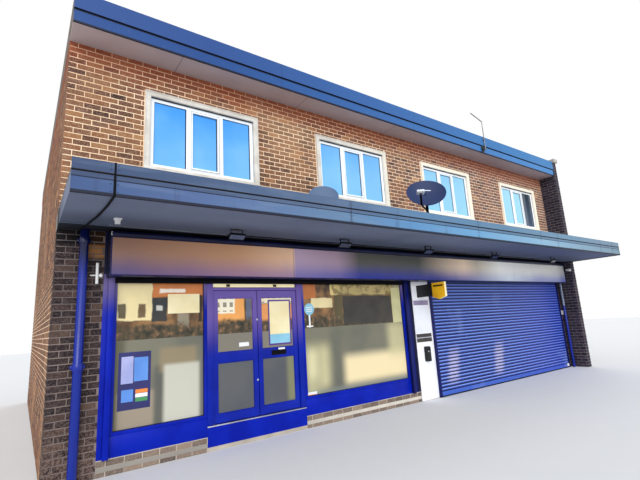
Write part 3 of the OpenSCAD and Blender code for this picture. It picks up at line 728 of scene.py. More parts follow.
def wall(node, slot, faces, brick, mortar):
    """A brick wall in place of its node."""
    core = copy_of(node)
    for out, low, high, holes in faces:
        out, low = Vector(out), Vector(low)
        for point in core.data.vertices:
            if abs((point.co - low).dot(out)) < ON_FACE:
                point.co -= out * MORTAR_SINK
    bricks = lay_bricks(node + "_bricks", faces)
    paint(core, mortar)
    paint(bricks, brick)
    keep(join(node + "_brickwork", [core, bricks]), slot, [node])


def side(box, out, foot=None, top=None, holes=()):
    """The face of a box that looks out, from a foot to a top."""
    low, high = box[0].copy(), box[1].copy()
    for axis in range(3):
        if out[axis] < 0:
            high[axis] = low[axis]
        if out[axis] > 0:
            low[axis] = high[axis]
    low.z = low.z if foot is None else foot
    high.z = high.z if top is None else top
    return out, low, high, holes


# %% [markdown]
# The openings in the brickwork are those of the cast window surrounds. Their sizes could be
# typed in, but they are read from the node, so the bricks always meet the surrounds.

# %% Openings
windows = boxes_of("window_surrounds")
front_windows = [box for box in windows if box[0].y < 0]
upper_rear = [box for box in windows if box[0].y > 0 and box[0].z > rear[0].z]
lower_rear = [box for box in windows if box[0].y > 0 and box[0].z < rear[0].z]
print(len(front_windows), "windows in front,", len(upper_rear), "+", len(lower_rear), "behind")

# %% [markdown]
# The upper walls are of the warm stock brick. So are their left ends, the lower rear wall
# with its two windows and the back door, and the party wall. A wall could have bricks all
# round, but only the faces that are seen from outside get them.

# %% Stock brick walls
low_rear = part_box("rear_wall_lower")
rear_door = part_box("rear_door")
wall("front_wall_upper", "common_brick", [
    side(front, FRONT, top=eaves_foot, holes=front_windows),
    side(front, LEFT)], stock_brick, cream_mortar)
wall("rear_wall_upper", "common_brick", [
    side(rear, BACK, top=eaves_foot, holes=upper_rear),
    side(rear, LEFT)], stock_brick, cream_mortar)
wall("rear_wall_lower", "common_brick", [
    side(low_rear, BACK, foot=0, holes=lower_rear + [rear_door]),
    side(low_rear, LEFT)], stock_brick, cream_mortar)
wall("party_wall", "common_brick", [side(party, LEFT)], stock_brick, cream_mortar)

# %% [markdown]
# The end wall and the piers are of harder, darker brick. The end wall stands out past the
# front and the back, so its two stubs have bricks on three sides. The canopy passes through
# it, and bricks there would clash with the slab. So the faces stop below it and start again
# above it.

# %% Dark brick walls
CANOPY_FELT = 0.03
over_canopy = slab[1].z + CANOPY_FELT
canopy_slot = (Vector((end[1].x, end[0].y, slab[0].z)), Vector((end[1].x, FACE, slab[1].z)))
front_stub = (end[0], Vector((end[1].x, FACE, end[1].z)))
rear_stub = (Vector((end[0].x, rear[1].y, 0)), end[1])
wall("end_wall", "dark_brick", [
    side(end, RIGHT, foot=0, holes=[canopy_slot]),
    side(end, FRONT, top=slab[0].z),
    side(end, FRONT, foot=over_canopy),
    side(end, BACK, foot=0),
    side(front_stub, LEFT, foot=0, top=slab[0].z),
    side(front_stub, LEFT, foot=over_canopy, top=eaves_foot),
    side(rear_stub, LEFT, top=eaves_foot)], plum_brick, dark_mortar)

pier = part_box("front_pier")
wall("front_pier", "dark_brick", [side(pier, FRONT), side(pier, LEFT)], pier_brick, dark_mortar)
wall("shop_piers", "dark_brick", [side(box, FRONT) for box in boxes_of("shop_piers")],
     plum_brick, dark_mortar)

# %% [markdown]
# Under the windows one course of pale brick lies on a cement strip, and whatever is below
# that strip is brick again. One face with a hole right across would do, but two short faces
# keep a whole course on the strip.

# %% Plinth
CEMENT = (0.058, 0.116)
OVER_CEMENT = 0.003
posts_low, posts_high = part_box("shopfront_posts")
bay_low, bay_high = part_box("door_posts")
window_runs = [(posts_low.x, bay_low.x), (bay_high.x, posts_high.x)]
faces = []
for left, right in window_runs:
    faces.append((FRONT, (left, FACE, CEMENT[1] + OVER_CEMENT), (right, FACE, posts_low.z), ()))
    faces.append((FRONT, (left, FACE, 0.0), (right, FACE, CEMENT[0]), ()))
wall("shop_plinth", "dark_brick", faces, plinth_brick, pale_mortar)

# %% [markdown]
# The cement strip was floated by hand, so it is cloudy and has trowel marks that lie along
# it. It is darker towards the left. The marks are noise that is stretched sideways, which
# costs less than modelling them and looks the same from two steps away.

# %% Cement strips
render = Finish("cement")
trowel = render.noise(22, 4, (0.3, 1, 1), seed=1)
render.shade = render.mix(render.noise(4, 5), (226, 220, 208), (176, 168, 156))
render.cover((1 - render.step(render.x, -5.0, -1.5)) * 0.75, (120, 114, 108))
cement = render.surface(Roughness=0.92, Normal=render.bump(trowel, 0.003))
for number, (left, right) in enumerate(window_runs):
    strip = block("cement_strip_%d" % number, (left, FACE, CEMENT[0]),
                  (right, FACE + 0.01, CEMENT[1]), edge=0.003)
    dress(strip, cement, "dark_brick")

# %% [markdown]
# ## The other finishes
# Cast concrete, stone and bare timber are mottled: two tones in soft patches, with sand on
# top. One function makes them all, and only the tones and the size of the patches differ.
# The cast surrounds are painted lighter towards the right, as painted light.

# %% Concrete, cast stone and timber
def mottled(name, pale, dark, scale, roughness=0.85, painted_light_right=None):
    cast = Finish(name)
    cast.shade = cast.mix(cast.patches(scale, 5, 0.3, 0.7), pale, dark)
    # Painted light: the surrounds are lighter towards the right.
    if painted_light_right:
        cast.cover(cast.step(cast.x, -2.5, 1.5) * 0.75, painted_light_right)
    sand = cast.noise(60, 3, seed=2)
    cast.cover(cast.step(sand, 0.5, 0.75) * 0.35, dark)
    return cast.surface(Roughness=roughness, Normal=cast.bump(sand, 0.001))


concrete = mottled("concrete", (150, 148, 142), (118, 116, 112), 2.5)
cast_cream = mottled("cast_cream", (220, 217, 210), (192, 186, 176), 4.0, 0.7, (255, 244, 224))
coping_stone = mottled("coping_stone", (206, 200, 190), (150, 144, 136), 5.0)
timber = mottled("timber", (120, 108, 96), (88, 78, 70), 3.0)

# %% [markdown]
# The canopy's cladding is a painted board that gets paler towards the right, its lower
# strip most of all. Painted shade lies in dark lines where one strip laps over the other,
# just under it, at the drip edge and at the foot. A butt joint crosses the board every
# 3.24 m, and rain has left streaks. It is all too thin to model on a board this long, so it
# is painted at its true height.

# %% Cladding
BOARD_PITCH = 3.235
FIRST_JOINT = -6.52
CLAD_STEP = 0.172
clad_low, clad_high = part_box("canopy_fascia")
drip = clad_low.z + CLAD_STEP

clad = Finish("grey_cladding")
share = clad.along(-7, 7)
upper_strip = clad.ramp(share, (0.0, 48, 66, 100), (0.25, 80, 100, 129), (0.38, 82, 118, 152),
                        (0.58, 88, 122, 149), (0.75, 100, 133, 158), (1.0, 106, 128, 146))
lower_strip = clad.ramp(share, (0.0, 54, 78, 122), (0.12, 78, 100, 142), (0.25, 91, 119, 150),
                        (0.36, 84, 130, 174), (0.5, 100, 149, 188), (0.68, 127, 164, 189),
                        (0.8, 121, 151, 172), (1.0, 108, 131, 145))
clad.shade = clad.mix(clad.z > drip, lower_strip, upper_strip)
streak = clad.noise(3.0, 5, (0.4, 1, 3.0))
clad.cover(clad.step(streak, 0.45, 0.8) * 0.3, (122, 140, 166))
clad.cover(clad.patches(9.0, 3, 0.58, 0.72, (1, 1, 0.12), 9) * 0.35, (52, 62, 92))
clad.cover(clad.patches(26, 1, 0.74, 0.78, seed=6) * 0.7, (40, 44, 60))
# Painted shade: dark lines at the lap, just under it and at the drip edge.
for rise, width, strength, shade in (
        (0.03, 0.06, 0.25, (60, 72, 100)), (0.063, 0.022, 1.0, (9, 10, 20)),
        (0.0, 0.012, 0.75, (24, 28, 46))):
    clad.cover(clad.near(clad.z, drip + rise, width) * strength, shade)
# Painted shade along the foot of the board.
clad.cover((1 - clad.step(clad.z, clad_low.z + 0.024, clad_low.z + 0.038)) * 0.95, (14, 16, 32))
clad.cover(clad.joints(FIRST_JOINT, BOARD_PITCH, 0.010), (18, 20, 34))
cladding = clad.surface(Roughness=0.5 + streak * 0.2, Specular_IOR_Level=0.3)

# %% [markdown]
# The soffit has the same joints. Near the wall it is painted darker, as painted shade, and it
# is darker towards the right. The recess behind the sign's hood is painted black as its
# shade. None of these is a part, so they are masks over one colour.

# %% Soffit
HOOD_DEPTH = 0.40
under = Finish("soffit_paint")
under.shade = under.mix(under.noise(1.4, 5), (124, 134, 158), (100, 109, 131))
under.cover(under.step(under.x, -0.8, 3.0) * 0.6, (46, 62, 106))
# Painted shade: darker near the wall.
under.cover(under.step(under.y, FACE - 1.3, FACE - 0.6) * 0.55, (46, 52, 66))
under.cover(under.patches(0.5, 4, 0.52, 0.7, seed=3) * 0.4, (66, 68, 84))
under.cover(under.joints(FIRST_JOINT, BOARD_PITCH, 0.006) * 0.3, (36, 38, 50))
# Painted shade: black in the recess behind the sign's hood.
under.cover(under.step(under.y, FACE - HOOD_DEPTH, FACE - HOOD_DEPTH + 0.03) * 0.95, (10, 12, 26))
soffit_paint = under.surface(Roughness=0.8, Specular_IOR_Level=0.3)

# %% [markdown]
# The roof's edge has two bands of blue board. The lower one is a deeper blue, and both get
# brighter to the right. The groove between them and the one at the foot are painted dark as
# the shade that the bands cast there, and the boards meet every 3.6 m.

# %% Roof edge
BAND_HEIGHT = 0.213
fascia_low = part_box("roof_fascia")[0]

band = Finish("roof_paint")
share = band.along(-5, 7)
upper_band = band.ramp(share, (0.0, 36, 70, 132), (0.45, 49, 98, 158), (0.75, 50, 114, 171),
                       (1.0, 60, 120, 173))
lower_band = band.ramp(share, (0.0, 26, 66, 128), (0.3, 44, 92, 153), (0.75, 61, 121, 182),
                       (1.0, 66, 127, 185))
band.shade = band.mix(band.z > fascia_low.z + BAND_HEIGHT, lower_band, upper_band)
band.cover(band.noise(2.2, 4, (0.3, 1, 2)) * 0.25, (54, 82, 128))
band.cover(band.patches(30, 4, 0.6, 0.8, (1, 1, 0.3), 3) * 0.15, (130, 156, 190))
band.cover(band.joints(-7.2, 3.6, 0.005), (22, 30, 54))
# Painted shade: dark lines in the groove between the bands and at the foot.
groove_shade = band.near(band.z, fascia_low.z + BAND_HEIGHT - 0.012, 0.030)
groove_shade = groove_shade + band.near(band.z, fascia_low.z, 0.056)
band.cover(groove_shade * 0.95, (6, 10, 30))
roof_paint = band.surface(Roughness=0.5, Specular_IOR_Level=0.25)

# %% [markdown]
# Under the eaves lies a plain board, a dusty rose that greys to the right, in lengths of
# 2.4 m. The felt on the roof and the canopy is laid in strips a metre wide, and each strip
# laps over the last, so a bump lifts every lap as well as the grit.

# %% Eaves and felt
eaves = Finish("eaves_board")
eaves.shade = eaves.mix(eaves.noise(1.8, 4), (206, 188, 188), (176, 158, 160))
eaves.cover(eaves.step(eaves.x, -2.0, 5.0) * 0.4, (140, 128, 146))
eaves.cover(eaves.joints(-7.8, 2.4, 0.007), (70, 60, 64))
eaves_board = eaves.surface(Roughness=0.75)

felt = Finish("felt")
grit = felt.noise(260, 3, seed=2)
lap = felt.joints(-9.5, 1.0, 0.03)
felt.shade = felt.mix(felt.noise(1.2, 5), (96, 100, 106), (64, 68, 74))
felt.cover(lap * 0.8, (38, 40, 44))
felt.cover(felt.step(grit, 0.6, 0.75) * 0.4, (140, 144, 150))
felt_finish = felt.surface(Roughness=0.95, Normal=felt.bump(grit + lap * 0.8, 0.003))

# %% [markdown]
# A coat of paint or plastic is even at first sight. Left at one flat colour it looks like a
# computer's, so this one changes slowly from place to place and has scuffs that catch the
# light. Above a given height it may take on a painted reflection of another colour.

# %% Paint and metal
UNDER_SIGN = (2.0, 2.5)


def coated(name, first, second, roughness, metallic=0.0, gloss=0.5, reflection_tint=None):
    coat = Finish(name)
    coat.shade = coat.mix(coat.patches(3.0, 4, 0.3, 0.7), first, second)
    if reflection_tint:
        low, high, reflected_colour = reflection_tint
        # Painted reflection: another colour over the coat above the given height.
        coat.cover(coat.step(coat.z, low, high) * 0.8, reflected_colour)
    scuff = coat.noise(34, 5, (1, 1, 4), seed=7)
    rough = roughness + coat.step(scuff, 0.5, 0.8) * 0.18
    return coat.surface(Roughness=rough, Metallic=metallic, Specular_IOR_Level=gloss,
                        Normal=coat.bump(scuff, 0.0003))


# The blue posts and doors take a mauve painted reflection near their tops.
blue_paint = coated("blue_paint", (4, 32, 168), (2, 24, 148), 0.36, gloss=0.12,
                    reflection_tint=(*UNDER_SIGN, (121, 108, 146)))
door_blue = coated("door_blue", (10, 36, 160), (6, 28, 142), 0.34, gloss=0.15,
                   reflection_tint=(1.3, 2.1, (122, 100, 168)))
deep_blue = coated("deep_blue", (12, 20, 92), (8, 14, 70), 0.4, gloss=0.2)
navy = coated("navy", (18, 24, 62), (11, 14, 44), 0.35, gloss=0.2)
steel = coated("steel", (206, 208, 212), (178, 180, 184), 0.32, 1.0)
galvanised = coated("galvanised", (150, 152, 156), (120, 122, 126), 0.45, 0.9)
black_metal = coated("black_metal", (22, 22, 25), (14, 14, 17), 0.4, gloss=0.3)
pitch_black = coated("pitch_black", (12, 12, 18), (6, 6, 11), 0.7, gloss=0.1)

# %% [markdown]
# The same function gives the plastics and the sheets of paper. A plain shader with one
# colour would do for the smallest, but beside the others it would stand out as too clean.

# %% Plastic and paper
rubber = coated("rubber", (40, 42, 48), (28, 30, 36), 0.7, gloss=0.2)
white_upvc = coated("white_upvc", (246, 250, 255), (236, 242, 250), 0.28)
white_board = coated("white_board", (252, 252, 255), (244, 244, 252), 0.4)
white_plastic = coated("white_plastic", (236, 236, 234), (216, 216, 216), 0.45)
yellow_plastic = coated("yellow_plastic", (252, 196, 22), (240, 178, 12), 0.4)
receiver_cap = coated("receiver_cap", (226, 230, 238), (196, 202, 216), 0.4)
brown_board = coated("brown_board", (66, 62, 54), (48, 46, 44), 0.6)
cream_paper = coated("cream_paper", (252, 240, 196), (240, 224, 172), 0.7)
white_paper = coated("white_paper", (246, 246, 248), (232, 232, 238), 0.7)
grey_paper = coated("grey_paper", (196, 198, 210), (176, 178, 192), 0.6)
sheet_paper = coated("sheet_paper", (238, 240, 246), (228, 231, 240), 0.6)
print_paper = coated("print_paper", (150, 138, 166), (126, 114, 146), 0.6)
olive_paper = coated("olive_paper", (204, 200, 152), (182, 178, 130), 0.6)
navy_paper = coated("navy_paper", (34, 36, 104), (26, 28, 88), 0.5)
lilac_paper = coated("lilac_paper", (172, 176, 222), (150, 158, 210), 0.5)
sky_paper = coated("sky_paper", (96, 150, 226), (80, 132, 210), 0.5)
pale_sky = coated("pale_sky", (150, 208, 228), (128, 190, 216), 0.5)
orange_paper = coated("orange_paper", (236, 140, 60), (226, 124, 48), 0.5)
green_paper = coated("green_paper", (70, 150, 90), (58, 134, 78), 0.5)
purple_paper = coated("purple_paper", (90, 60, 140), (78, 50, 124), 0.5)

# %% [markdown]
# The rainwater pipes share one finish. The left one is a glossy blue, painted nearly black
# at its top as the shade under the canopy, and the right one is grey above its joint. The
# dishes share one as well: the wide one is slate blue, and the small one has faded. Asking
# for the place of a point spares a second material in both.

# %% Pipes and dishes
pipe = Finish("pipe_blue")
pipe.shade = pipe.mix(pipe.noise(6.0, 4, (1, 1, 0.3)), (14, 44, 158), (8, 30, 120))
# Painted shade: the top of the left pipe under the canopy is nearly black.
pipe.cover(pipe.step(pipe.z, 2.5, 2.95) * 0.85, (8, 12, 36))
pipe.cover((pipe.x > 5.5) * (pipe.z > 1.85), (118, 128, 150))
pipe_blue = pipe.surface(Roughness=0.22, Specular_IOR_Level=0.4)

bowl = Finish("dish_grey")
bowl.shade = bowl.mix(bowl.noise(2.5, 4), (28, 48, 94), (22, 38, 76))
bowl.cover(bowl.x < -1.8, (82, 104, 136))
dish_grey = bowl.surface(Roughness=0.5, Specular_IOR_Level=0.25)

# %% [markdown]
# The curtain of the roller shutter is curved in the model, but from a few metres away each
# slat reads as one dark line of painted shade at its knuckle and a bright line of painted
# highlight where its round back looks up. So a ramp runs over the height of one slat, 75 mm,
# and starts anew on the next. The top of the curtain is painted darker as the shade under
# the sign, and two pale glints near the ground are painted reflections.

# %% Shutter finish
SLAT = 0.075
RAIL_TOP = 0.110
shutter = Finish("shutter_blue")
rise = ((shutter.z - RAIL_TOP) / SLAT) % 1
# Painted shade and highlight: dark at each slat's knuckle, bright where its back looks up.
slat_light_and_shade = shutter.ramp(rise, (0.0, 2, 6, 38), (0.2, 6, 14, 58), (0.32, 32, 54, 140),
                     (0.54, 52, 82, 174), (0.74, 142, 172, 244), (0.86, 46, 72, 160),
                     (1.0, 2, 6, 38))
shutter.shade = shutter.mix(shutter.z > RAIL_TOP, (60, 94, 188), slat_light_and_shade)
# Painted shade: darker towards the top, under the sign.
shutter.cover(shutter.step(shutter.z, 1.6, 2.5) * 0.18, (40, 46, 104))
shutter.cover(shutter.step(shutter.x, 2.5, 6.0) * 0.35, (30, 48, 176))
shutter.cover(shutter.patches(1.1, 3, 0.55, 0.72, (1, 1, 0.8), 2) * 0.3, (140, 158, 212))
lean = shutter.x - shutter.z * 0.2
# Painted reflection: two pale glints on the curtain near the ground.
for middle in (0.86, 2.72):
    painted_glint = 1 - shutter.step(abs(lean - middle), 0.06, 0.3)
    painted_glint = painted_glint * shutter.step(shutter.z, 0.15, 0.4)
    painted_glint = painted_glint * (1 - shutter.step(shutter.z, 0.75, 1.15))
    shutter.cover(painted_glint * shutter.step(rise, 0.2, 0.5) * 0.5, (216, 208, 232))
shutter_blue = shutter.surface(Roughness=0.4, Specular_IOR_Level=0.3)

# %% [markdown]
# The upper windows show a painted reflection of the sky: a bright blue, paler towards the
# right and towards the foot. Clear glass would show the empty rooms behind, so the painted
# reflection is in the glass itself. One light of the last front window has a dark blind
# behind it.

# %% Glass of the upper windows
BLIND_WIDTH = 0.72
glass = Finish("sky_glass")
# Painted reflection of the sky: deep blue on the left, paler to the right.
glass.shade = glass.mix(glass.step(glass.x, -5.5, 5.5), (52, 146, 230), (150, 206, 224))
height = glass.step(glass.z, front_windows[0][0].z, front_windows[0][1].z)
glass.cover((1 - height) * 0.35, (150, 214, 250))
glass.cover(glass.patches(0.9, 3, 0.35, 0.7) * 0.35, (150, 208, 250))
blind_edge = front_windows[-1][1].x
behind_blind = (glass.x > blind_edge - BLIND_WIDTH) * (glass.x < blind_edge) * (glass.y < 0)
blind = glass.mix(height, (66, 74, 96), (28, 28, 44))
glass.cover(behind_blind * 0.95, blind)
sky_glass = glass.surface(Roughness=0.05, Specular_IOR_Level=0.4)

# %% [markdown]
# What shows in the shop's panes is a painted reflection with no edges of its own: soft blocks
# of colour. A soft box is a mask that is 1 inside a rectangle on the glass and falls off at
# its edges, and noise may let those edges wander.

# %% Soft boxes
FILM_TOP = 1.68


def soft_box(pane, left, right, low, high, soft, wander=0.0):
    """1 inside a box on the glass and 0 outside, with soft edges that may wander."""
    x, z = pane.x + wander, pane.z + wander
    across = pane.step(x, left - soft, left + soft)
    across = across * (1 - pane.step(x, right - soft, right + soft))
    upward = pane.step(z, low - soft, low + soft)
    return across * upward * (1 - pane.step(z, high - soft, high + soft))


# %% [markdown]
# The panes are clear at the top. There a painted reflection of what stands opposite shows:
# pale, brick-red and dark blocks over a speckled foot, as (left, right, low, high, colour) in
# metres. A real mirror image would need all that stands opposite, and it would be another
# one from every side.

# %% What the clear glass shows
SHOWN = (
    (-6.2, -5.67, 1.95, 2.6, (250, 232, 176)), (-6.13, -6.03, 1.98, 2.19, (50, 42, 34)),
    (-5.86, -5.76, 1.99, 2.18, (92, 66, 44)), (-5.67, -4.86, 2.28, 2.6, (214, 128, 66)),
    (-5.57, -5.19, 2.34, 2.4, (252, 246, 230)), (-5.67, -5.46, 1.92, 2.26, (44, 54, 58)),
    (-5.62, -5.52, 2.08, 2.15, (214, 214, 204)), (-4.98, -4.92, 1.9, 2.3, (40, 34, 30)),
    (-5.3, -5.13, 1.66, 2.03, (152, 142, 122)), (-4.75, -4.2, 1.7, 2.3, (255, 178, 96)),
    (-4.75, -4.37, 2.0, 2.26, (255, 250, 226)), (-4.17, -4.08, 1.7, 2.24, (96, 108, 132)),
    (-3.9, -3.25, 1.7, 2.14, (244, 164, 96)), (-3.9, -3.25, 2.15, 2.28, (252, 242, 206)),
    (-3.06, -2.74, 2.22, 2.6, (198, 116, 58)), (-2.86, -2.36, 2.04, 2.22, (246, 228, 174)),
    (-2.32, -2.12, 1.8, 2.4, (72, 70, 44)), (-2.4, -0.72, 2.28, 2.5, (252, 226, 146)),
    (-0.7, -0.42, 1.6, 2.5, (226, 216, 176)))
GRID = ((-4.8, -4.4, 2.03, 2.26), (-3.9, -3.2, 2.16, 2.28))
SHELF = (-2.36, -0.75, 2.26, 2.52)


def clear_part(pane):
    """A painted reflection: soft blocks with dark openings, over a speckled foot."""
    wander = (pane.noise(7, 3, seed=11) - 0.5) * 0.05
    murk = pane.noise(3.4, 4, seed=5)
    shown = pane.mix(pane.step(murk, 0.35, 0.7), (58, 44, 34), (170, 126, 80))
    for *box, shade in SHOWN:
        inside = soft_box(pane, *box, 0.012, wander)
        shown = pane.mix(inside * (0.75 + murk * 0.3), shown, shade)
    openings = pane.near((pane.x + wander) % 0.115, 0.05, 0.06)
    openings = openings * pane.near(pane.z % 0.13, 0.06, 0.075)
    rows = soft_box(pane, *GRID[0], 0.01) + soft_box(pane, *GRID[1], 0.01)
    shown = pane.mix(openings * rows * 0.7, shown, (52, 48, 44))
    shelf = soft_box(pane, *SHELF, 0.02) * pane.patches(8, 3, 0.46, 0.6, seed=14)
    shown = pane.mix(shelf * 0.7, shown, (104, 78, 38))
    speckle = pane.ramp(pane.noise(10, 7, seed=12), (0.32, 30, 30, 28), (0.46, 66, 62, 46),
                        (0.58, 104, 82, 60), (0.72, 176, 138, 96))
    height = pane.z - pane.noise(4, 4, seed=13) * 0.36
    return pane.mix(1 - pane.step(height, FILM_TOP - 0.03, FILM_TOP + 0.07), shown, speckle)


# %% [markdown]
# Below 1.68 m a grey film is stuck on the panes, and what stands behind it is only a pale or
# tan block without an edge. Each is (left, right, low, high, softness, colour, strength).
# Film and clear glass are one finish, because they are one sheet of glass.

# %% Glass of the shop
def shop_pane(name, film_shades, shadows, dimmed=None):
    pane = Finish(name)
    # Painted reflection in the clear top of the pane.
    street_reflection = clear_part(pane)
    if dimmed:
        dim = soft_box(pane, *dimmed, FILM_TOP, 2.6, 0.25)
        street_reflection = pane.mix(dim * 0.6, street_reflection, (104, 92, 62))
    pane.shade = pane.mix(pane.patches(1.1, 4, 0.35, 0.65, seed=6), *film_shades)
    for *box, shade, strength in shadows:
        pane.cover(soft_box(pane, *box) * strength, shade)
    filmed = 1 - pane.step(pane.z, FILM_TOP - 0.004, FILM_TOP + 0.004)
    pane.shade = pane.mix(filmed, street_reflection, pane.shade)
    return pane.surface(Roughness=0.06 + filmed * 0.3, Specular_IOR_Level=0.35)


window_glass = shop_pane("window_film", ((122, 120, 102), (104, 104, 94)), (
    (-6.3, -6.02, 0.3, 1.7, 0.05, (78, 76, 52), 0.7),
    (-6.1, -5.62, 0.3, 0.98, 0.04, (160, 146, 128), 0.8),
    (-5.62, -5.5, 0.3, 1.3, 0.05, (74, 76, 78), 0.6),
    (-5.55, -5.02, 1.2, 1.54, 0.05, (150, 134, 104), 0.8),
    (-5.49, -4.97, 0.3, 1.3, 0.04, (198, 197, 182), 0.95),
    (-4.95, -4.7, 0.3, 1.66, 0.04, (104, 106, 108), 0.7),
    (-3.1, -2.75, 0.4, 1.35, 0.2, (200, 194, 150), 0.75),
    (-2.98, -2.8, 0.8, 1.3, 0.14, (244, 234, 186), 0.6),
    (-2.75, -2.5, 0.6, 1.35, 0.16, (232, 222, 170), 0.6),
    (-2.45, -2.2, 0.4, 1.7, 0.12, (84, 90, 82), 0.4),
    (-2.15, -0.3, 0.6, 1.12, 0.12, (240, 222, 176), 0.95),
    (-0.95, -0.3, 1.0, 1.68, 0.15, (206, 198, 152), 0.75),
    (-3.2, -0.3, 0.3, 0.58, 0.06, (132, 140, 138), 0.6)), (-2.3, 0.0))
door_glass = shop_pane("door_film", ((92, 94, 96), (82, 85, 90)), (
    (-3.42, -3.1, 0.5, 1.3, 0.06, (140, 140, 100), 0.7),
    (-4.9, -3.0, 1.32, 1.9, 0.06, (134, 128, 114), 0.85)))

# %% [markdown]
# The light over the doors is of the same pane, but only the pale ceiling shows in it. A
# lamp behind it would light half the room, so the glass itself glows a little. All panes
# are one piece, and a test on each face says which of the two finishes it gets.

# %% Fan light
def share_out(piece, chosen):
    """Gives each face the finish whose number the test says."""
    for face in piece.data.polygons:
        face.material_index = int(chosen(face))


fan = Finish("fan_light")
fan.shade = fan.mix(fan.noise(3.0, 2), (255, 246, 206), (246, 226, 170))
fan_light = fan.surface(Emission_Color=fan.shade, Emission_Strength=0.35, Roughness=0.2,
                        Specular_IOR_Level=0.2)
left_pane, fan_pane, right_pane = boxes_of("shop_glass")
PANE = left_pane[0].y
panes = paint(copy_of("shop_glass"), window_glass, fan_light)
share_out(panes, lambda face: fan_pane[0].x - 0.001 < face.center.x < fan_pane[1].x + 0.001)
keep(panes, "shop_glass", ["shop_glass"])

# %% [markdown]
# ## Windows
# The plastic frames have rounded bars, and the cast surrounds have worn corners. A section
# could be swept round each opening, but both have their real section in the model, so a
# softened copy is all that they need.

# %% Window frames and surrounds
dress(soften(copy_of("window_frames"), 0.004), white_upvc, "white_upvc", ["window_frames"])
dress(soften(copy_of("window_surrounds"), 0.007), cast_cream, "cast_cream", ["window_surrounds"])


def outward(low):
    """The way that a window with this lower corner looks."""
    return FRONT if low.y < 0 else BACK


def on_face(low, high, out):
    """The two corners of a box's face that looks in the direction out."""
    y = low.y if out is FRONT else high.y
    return Vector((low.x, y, low.z)), Vector((high.x, y, high.z))


# %% [markdown]
# A dark gasket runs round every pane. In front, a dark strip on each pane's right side is
# painted shade, where the frame's bar shades the pane. A ring is a moulding round a
# rectangle. Four strips would leave seams at the corners, so a plane is inset instead, its
# middle goes, and the rest is pushed out.

# %% Gaskets
def ring(name, low, high, width, stand, out=FRONT, edge=0.0):
    """A moulding inside the rectangle between low and high, standing out from that plane."""
    low, high, out = Vector(low), Vector(high), Vector(out)
    bpy.ops.object.select_all(action="DESELECT")
    bpy.ops.mesh.primitive_plane_add(
        size=1, location=(low + high) / 2, rotation=(radians(-90 * out.y), 0, 0))
    bpy.context.active_object.scale = (high.x - low.x, high.z - low.z, 1)
    piece = settle(bpy.context.active_object, name)
    edit(piece,
         lambda: bpy.ops.mesh.inset(thickness=width),
         lambda: bpy.ops.mesh.delete(type="FACE"),
         lambda: bpy.ops.mesh.select_all(action="SELECT"),
         lambda: bpy.ops.mesh.extrude_region_move(
             TRANSFORM_OT_translate={"value": tuple(out * stand)}))
    return soften(piece, edge, 1) if edge else piece


GASKET_WIDTH = 0.006
GASKET_STAND = 0.004
SHADE_LINE = 0.015
gaskets = []
for number, (low, high) in enumerate(boxes_of("window_glass")):
    out = outward(low)
    gaskets.append(ring("gasket_%d" % number, *on_face(low, high, out), GASKET_WIDTH,
                        GASKET_STAND, out))
    if out is FRONT:
        # Painted shade: a dark strip on the right side of each front pane.
        gaskets.append(block("shade_line_%d" % number, (high.x - SHADE_LINE, low.y - 0.0046, low.z),
                             (high.x, low.y + 0.001, high.z), edge=0))
dress(join("window_gaskets", gaskets), rubber, "black_metal")

# %% [markdown]
# The cast surround has a raised bead on its outer edge, above the sill. It is a ring with
# its edges rounded, because casting leaves no sharp ones.

# %% Surround beads
BEAD_WIDTH = 0.018
BEAD_STAND = 0.008
BEAD_INSET = 0.025
SILL_RISE = 0.085
beads = []
for number, (low, high) in enumerate(windows):
    out = outward(low)
    inset = Vector(out) * -BEAD_INSET
    foot, head = on_face(low, high, out)
    foot += inset + UP * (SILL_RISE - BEAD_WIDTH)
    beads.append(ring("bead_%d" % number, foot, head + inset, BEAD_WIDTH, BEAD_STAND, out, 0.002))
dress(join("surround_beads", beads), cast_cream, "cast_cream")

# %% [markdown]
# A dark line of sealant lies between the plastic frame and the cast surround. Under the
# surround's head a dark strip is painted shade, where the head shades the frame. Painting the
# line on would need masks on two pieces, and one thin ring covers the seam between them.

# %% Sealant
seals = []
for number, (low, high) in enumerate(boxes_of("window_frames")):
    out = outward(low)
    foot, head = on_face(low, high, out)
    lip = Vector(out) * -0.012
    seals.append(ring("seal_%d" % number, foot + lip, head + lip, 0.005, 0.003, out))
    if out is FRONT:
        # Painted shade: a dark strip under the surround's head.
        seals.append(block("head_gap_%d" % number, (low.x + 0.002, low.y - 0.003, high.z - 0.016),
                           (high.x - 0.002, low.y + 0.001, high.z), edge=0))
dress(join("window_seals", seals), rubber, "black_metal")

# %% [markdown]
# The middle light of each front window opens, so a thin seam runs round its sash. A groove
# would be truer, but a dark ring 1.5 mm high looks the same and leaves the frame whole. The
# panes come three to a window, which finds every middle one.

# %% Sash seams
SASH = 0.032
frame_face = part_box("window_frames")[0].y
seams = []
panes_in_front = [box for box in boxes_of("window_glass") if box[0].y < 0]
for number, (low, high) in enumerate(panes_in_front):
    if number % 3 != 1:
        continue
    foot, head = on_face(low, high, FRONT)
    reach = Vector((SASH, 0, SASH))
    foot, head = foot - reach, head + reach
    foot.y = head.y = frame_face + 0.0005
    seams.append(ring("seam_%d" % number, foot, head, 0.005, 0.0015))
dress(join("sash_seams", seams), rubber, "black_metal")

# %% [markdown]
# ## Shopfront
# The blue bars are folded metal with rounded edges, and so are the hood and the shutter
# rail. Their section is already right, so each is a softened copy of its node. The width of
# the rounding is the real one: 4 to 6 mm on thick parts and stone, 2 to 3 mm on thin metal.

